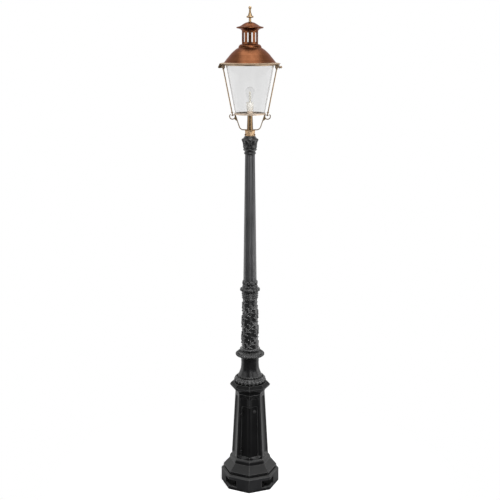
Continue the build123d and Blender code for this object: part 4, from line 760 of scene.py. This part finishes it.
# Chimney cap: a bead round the rim, a hollow flank and a round crown
cap_low, cap_tall = span("chimney_cap")
cap_profile = smooth_profile(
    cap_low,
    [
        (12.0, cap_tall - 5),
        (46.0, 20),
        (74.0, 8),
        (78.5, 4),
        (80.5, 0),
        (83.5, 0),
        (86.8, 2.2),
        (87.4, 4.85),
        (86.0, 7.8),
        (82.0, 9.2),
        (73.0, 11.2),
        (61.0, 15.8),
        (47.0, 24.5),
        (33.0, 32.5),
        (20.0, 37.2),
        (11.0, cap_tall),
    ],
    0.8,
)
spin_depth = 0.15
spin_pitch = 5.0


def cap_relief(angle, radius, arc):
    return spin_depth * np.sin(TURN * arc / spin_pitch)


turned_relief("chimney_cap_spun", "chimney_cap", cap_profile, 4.2, cap_relief, 180, body="roof")


# Stage

def shows_white(tree, place):
    """1 for rays that see the white backdrop: from the camera, in glass, and off metal behind."""
    path = tree.nodes.new("ShaderNodeLightPath")
    parts = tree.nodes.new("ShaderNodeSeparateXYZ")
    tree.links.new(place, parts.inputs["Vector"])
    behind = tree.nodes.new("ShaderNodeMapRange")
    behind.inputs["From Min"].default_value = -0.1
    behind.inputs["From Max"].default_value = 0.4
    tree.links.new(parts.outputs["Y"], behind.inputs["Value"])
    mirrored = tree.nodes.new("ShaderNodeMath")
    mirrored.operation = "MULTIPLY"
    tree.links.new(path.outputs["Is Glossy Ray"], mirrored.inputs[0])
    tree.links.new(behind.outputs["Result"], mirrored.inputs[1])
    seen = mirrored.outputs[0]
    for kind in ("Is Camera Ray", "Is Transmission Ray"):
        either = tree.nodes.new("ShaderNodeMath")
        either.operation = "MAXIMUM"
        tree.links.new(seen, either.inputs[0])
        tree.links.new(path.outputs[kind], either.inputs[1])
        seen = either.outputs[0]
    return seen


def paper():
    """White paper floor that takes the post's shadow, and fades to plain white away from it."""
    look = Look("paper_floor")
    seen = shows_white(look.tree, look.place)
    pale = look.ramp(look.noise(3.0), ((0.3, (0.86, 0.86, 0.86)), (0.7, (0.88, 0.88, 0.88))))
    look.colour(look.mix(seen, grey(0.12), pale))
    look.set(Roughness=0.9, Specular_IOR_Level=0.0, Emission_Color=grey(1.0))
    glow = look.add("ShaderNodeMath", operation="MULTIPLY")
    look.join(seen, glow.inputs[0])
    glow.inputs[1].default_value = paper_glow
    look.join(glow.outputs[0], look.shader.inputs["Emission Strength"])
    reach = look.add("ShaderNodeVectorMath", operation="LENGTH")
    look.join(look.place, reach.inputs[0])
    away = look.add("ShaderNodeMapRange", interpolation_type="SMOOTHSTEP")
    away.inputs["From Min"].default_value = 0.35
    away.inputs["From Max"].default_value = 1.5
    look.join(reach.outputs["Value"], away.inputs["Value"])
    far = look.add("ShaderNodeMath", operation="MULTIPLY")
    look.join(away.outputs["Result"], far.inputs[0])
    look.join(seen, far.inputs[1])
    white = look.add("ShaderNodeEmission")
    pick = look.add("ShaderNodeMixShader")
    look.join(far.outputs[0], pick.inputs["Fac"])
    look.join(look.shader.outputs["BSDF"], pick.inputs[1])
    look.join(white.outputs["Emission"], pick.inputs[2])
    look.join(pick.outputs["Shader"], look.output.inputs["Surface"])
    return look.material


paper_glow = 0.4
floor_reach = 9.0
floor_mesh = bpy.data.meshes.new("paper_floor")
floor_mesh.from_pydata(
    [(floor_reach * x, floor_reach * y, 0.0) for x, y in ((-1, -1), (1, -1), (1, 1), (-1, 1))],
    [],
    [(0, 1, 2, 3)],
)
floor_mesh.materials.append(paper())
floor = bpy.data.objects.new("paper_floor", floor_mesh)
bpy.context.scene.collection.objects.link(floor)


def studio_world():
    """Surround that is white to the camera, in glass, and behind the object in metal, and dim elsewhere."""
    world = bpy.data.worlds.new("studio")
    world.use_nodes = True
    tree = world.node_tree
    tree.nodes.clear()
    output = tree.nodes.new("ShaderNodeOutputWorld")
    dim = tree.nodes.new("ShaderNodeBackground")
    dim.inputs["Color"].default_value = (0.93, 0.96, 1.0, 1.0)
    dim.inputs["Strength"].default_value = 0.16
    white = tree.nodes.new("ShaderNodeBackground")
    white.inputs["Color"].default_value = grey(1.0)
    pick = tree.nodes.new("ShaderNodeMixShader")
    seen = shows_white(tree, tree.nodes.new("ShaderNodeTexCoord").outputs["Generated"])
    tree.links.new(seen, pick.inputs["Fac"])
    tree.links.new(dim.outputs["Background"], pick.inputs[1])
    tree.links.new(white.outputs["Background"], pick.inputs[2])
    tree.links.new(pick.outputs["Shader"], output.inputs["Surface"])
    return world


bpy.context.scene.world = studio_world()


def soft_box(name, place, aim, width, height, power):
    """Rectangular area lamp that faces a point and isn't itself seen, nor seen through glass."""
    light = bpy.data.lights.new(name, "AREA")
    light.shape = "RECTANGLE"
    light.size = width
    light.size_y = height
    light.energy = power
    lamp = bpy.data.objects.new(name, light)
    lamp.location = place
    lamp.visible_camera = False
    lamp.visible_transmission = False
    direction = np.array(aim, float) - np.array(place, float)
    lamp.rotation_euler = (
        math.acos(-direction[2] / np.linalg.norm(direction)),
        0.0,
        math.atan2(direction[1], direction[0]) - math.pi / 2,
    )
    bpy.context.scene.collection.objects.link(lamp)


# Name, place, aimed at, width, height and power of each lamp
soft_box("left_box", (-3.3, -1.9, 2.55), (0, 0, 1.9), 3.4, 1.8, 54.0)
soft_box("right_box", (3.4, -1.8, 2.55), (0, 0, 1.9), 3.4, 1.8, 84.0)
soft_box("low_left_box", (-3.2, 0.8, 0.75), (0, 0, 0.5), 1.4, 1.3, 12.0)
soft_box("low_right_box", (3.2, 0.7, 0.75), (0, 0, 0.5), 1.4, 1.3, 20.0)
soft_box("lantern_box", (0.5, -2.4, 3.9), (0, 0, 2.5), 1.6, 1.2, 10.0)
soft_box("top_box", (0.0, -0.3, 6.5), (0, 0, 0.5), 4.0, 4.0, 150.0)
soft_box("front_box", (0.45, -1.95, 1.3), (0, 0, 0.95), 0.5, 0.45, 8.0)
soft_box("front_top_box", (0.7, -2.6, 5.2), (0, 0, 1.2), 1.6, 1.2, 50.0)

# Camera at the photograph's angle
camera_distance = 5.8
camera_height = 3.1
camera_azimuth = math.radians(1.9)
camera_pitch = math.radians(13.485)
camera_data = bpy.data.cameras.new("camera")
camera_data.sensor_width = 36.0
camera_data.lens = 63.165
camera = bpy.data.objects.new("camera", camera_data)
camera.location = (
    camera_distance * math.sin(camera_azimuth),
    -camera_distance * math.cos(camera_azimuth),
    camera_height,
)
camera.rotation_euler = (math.pi / 2 - camera_pitch, 0.0, camera_azimuth)
bpy.context.scene.collection.objects.link(camera)
bpy.context.scene.camera = camera
bpy.context.scene.view_settings.view_transform = "Standard"
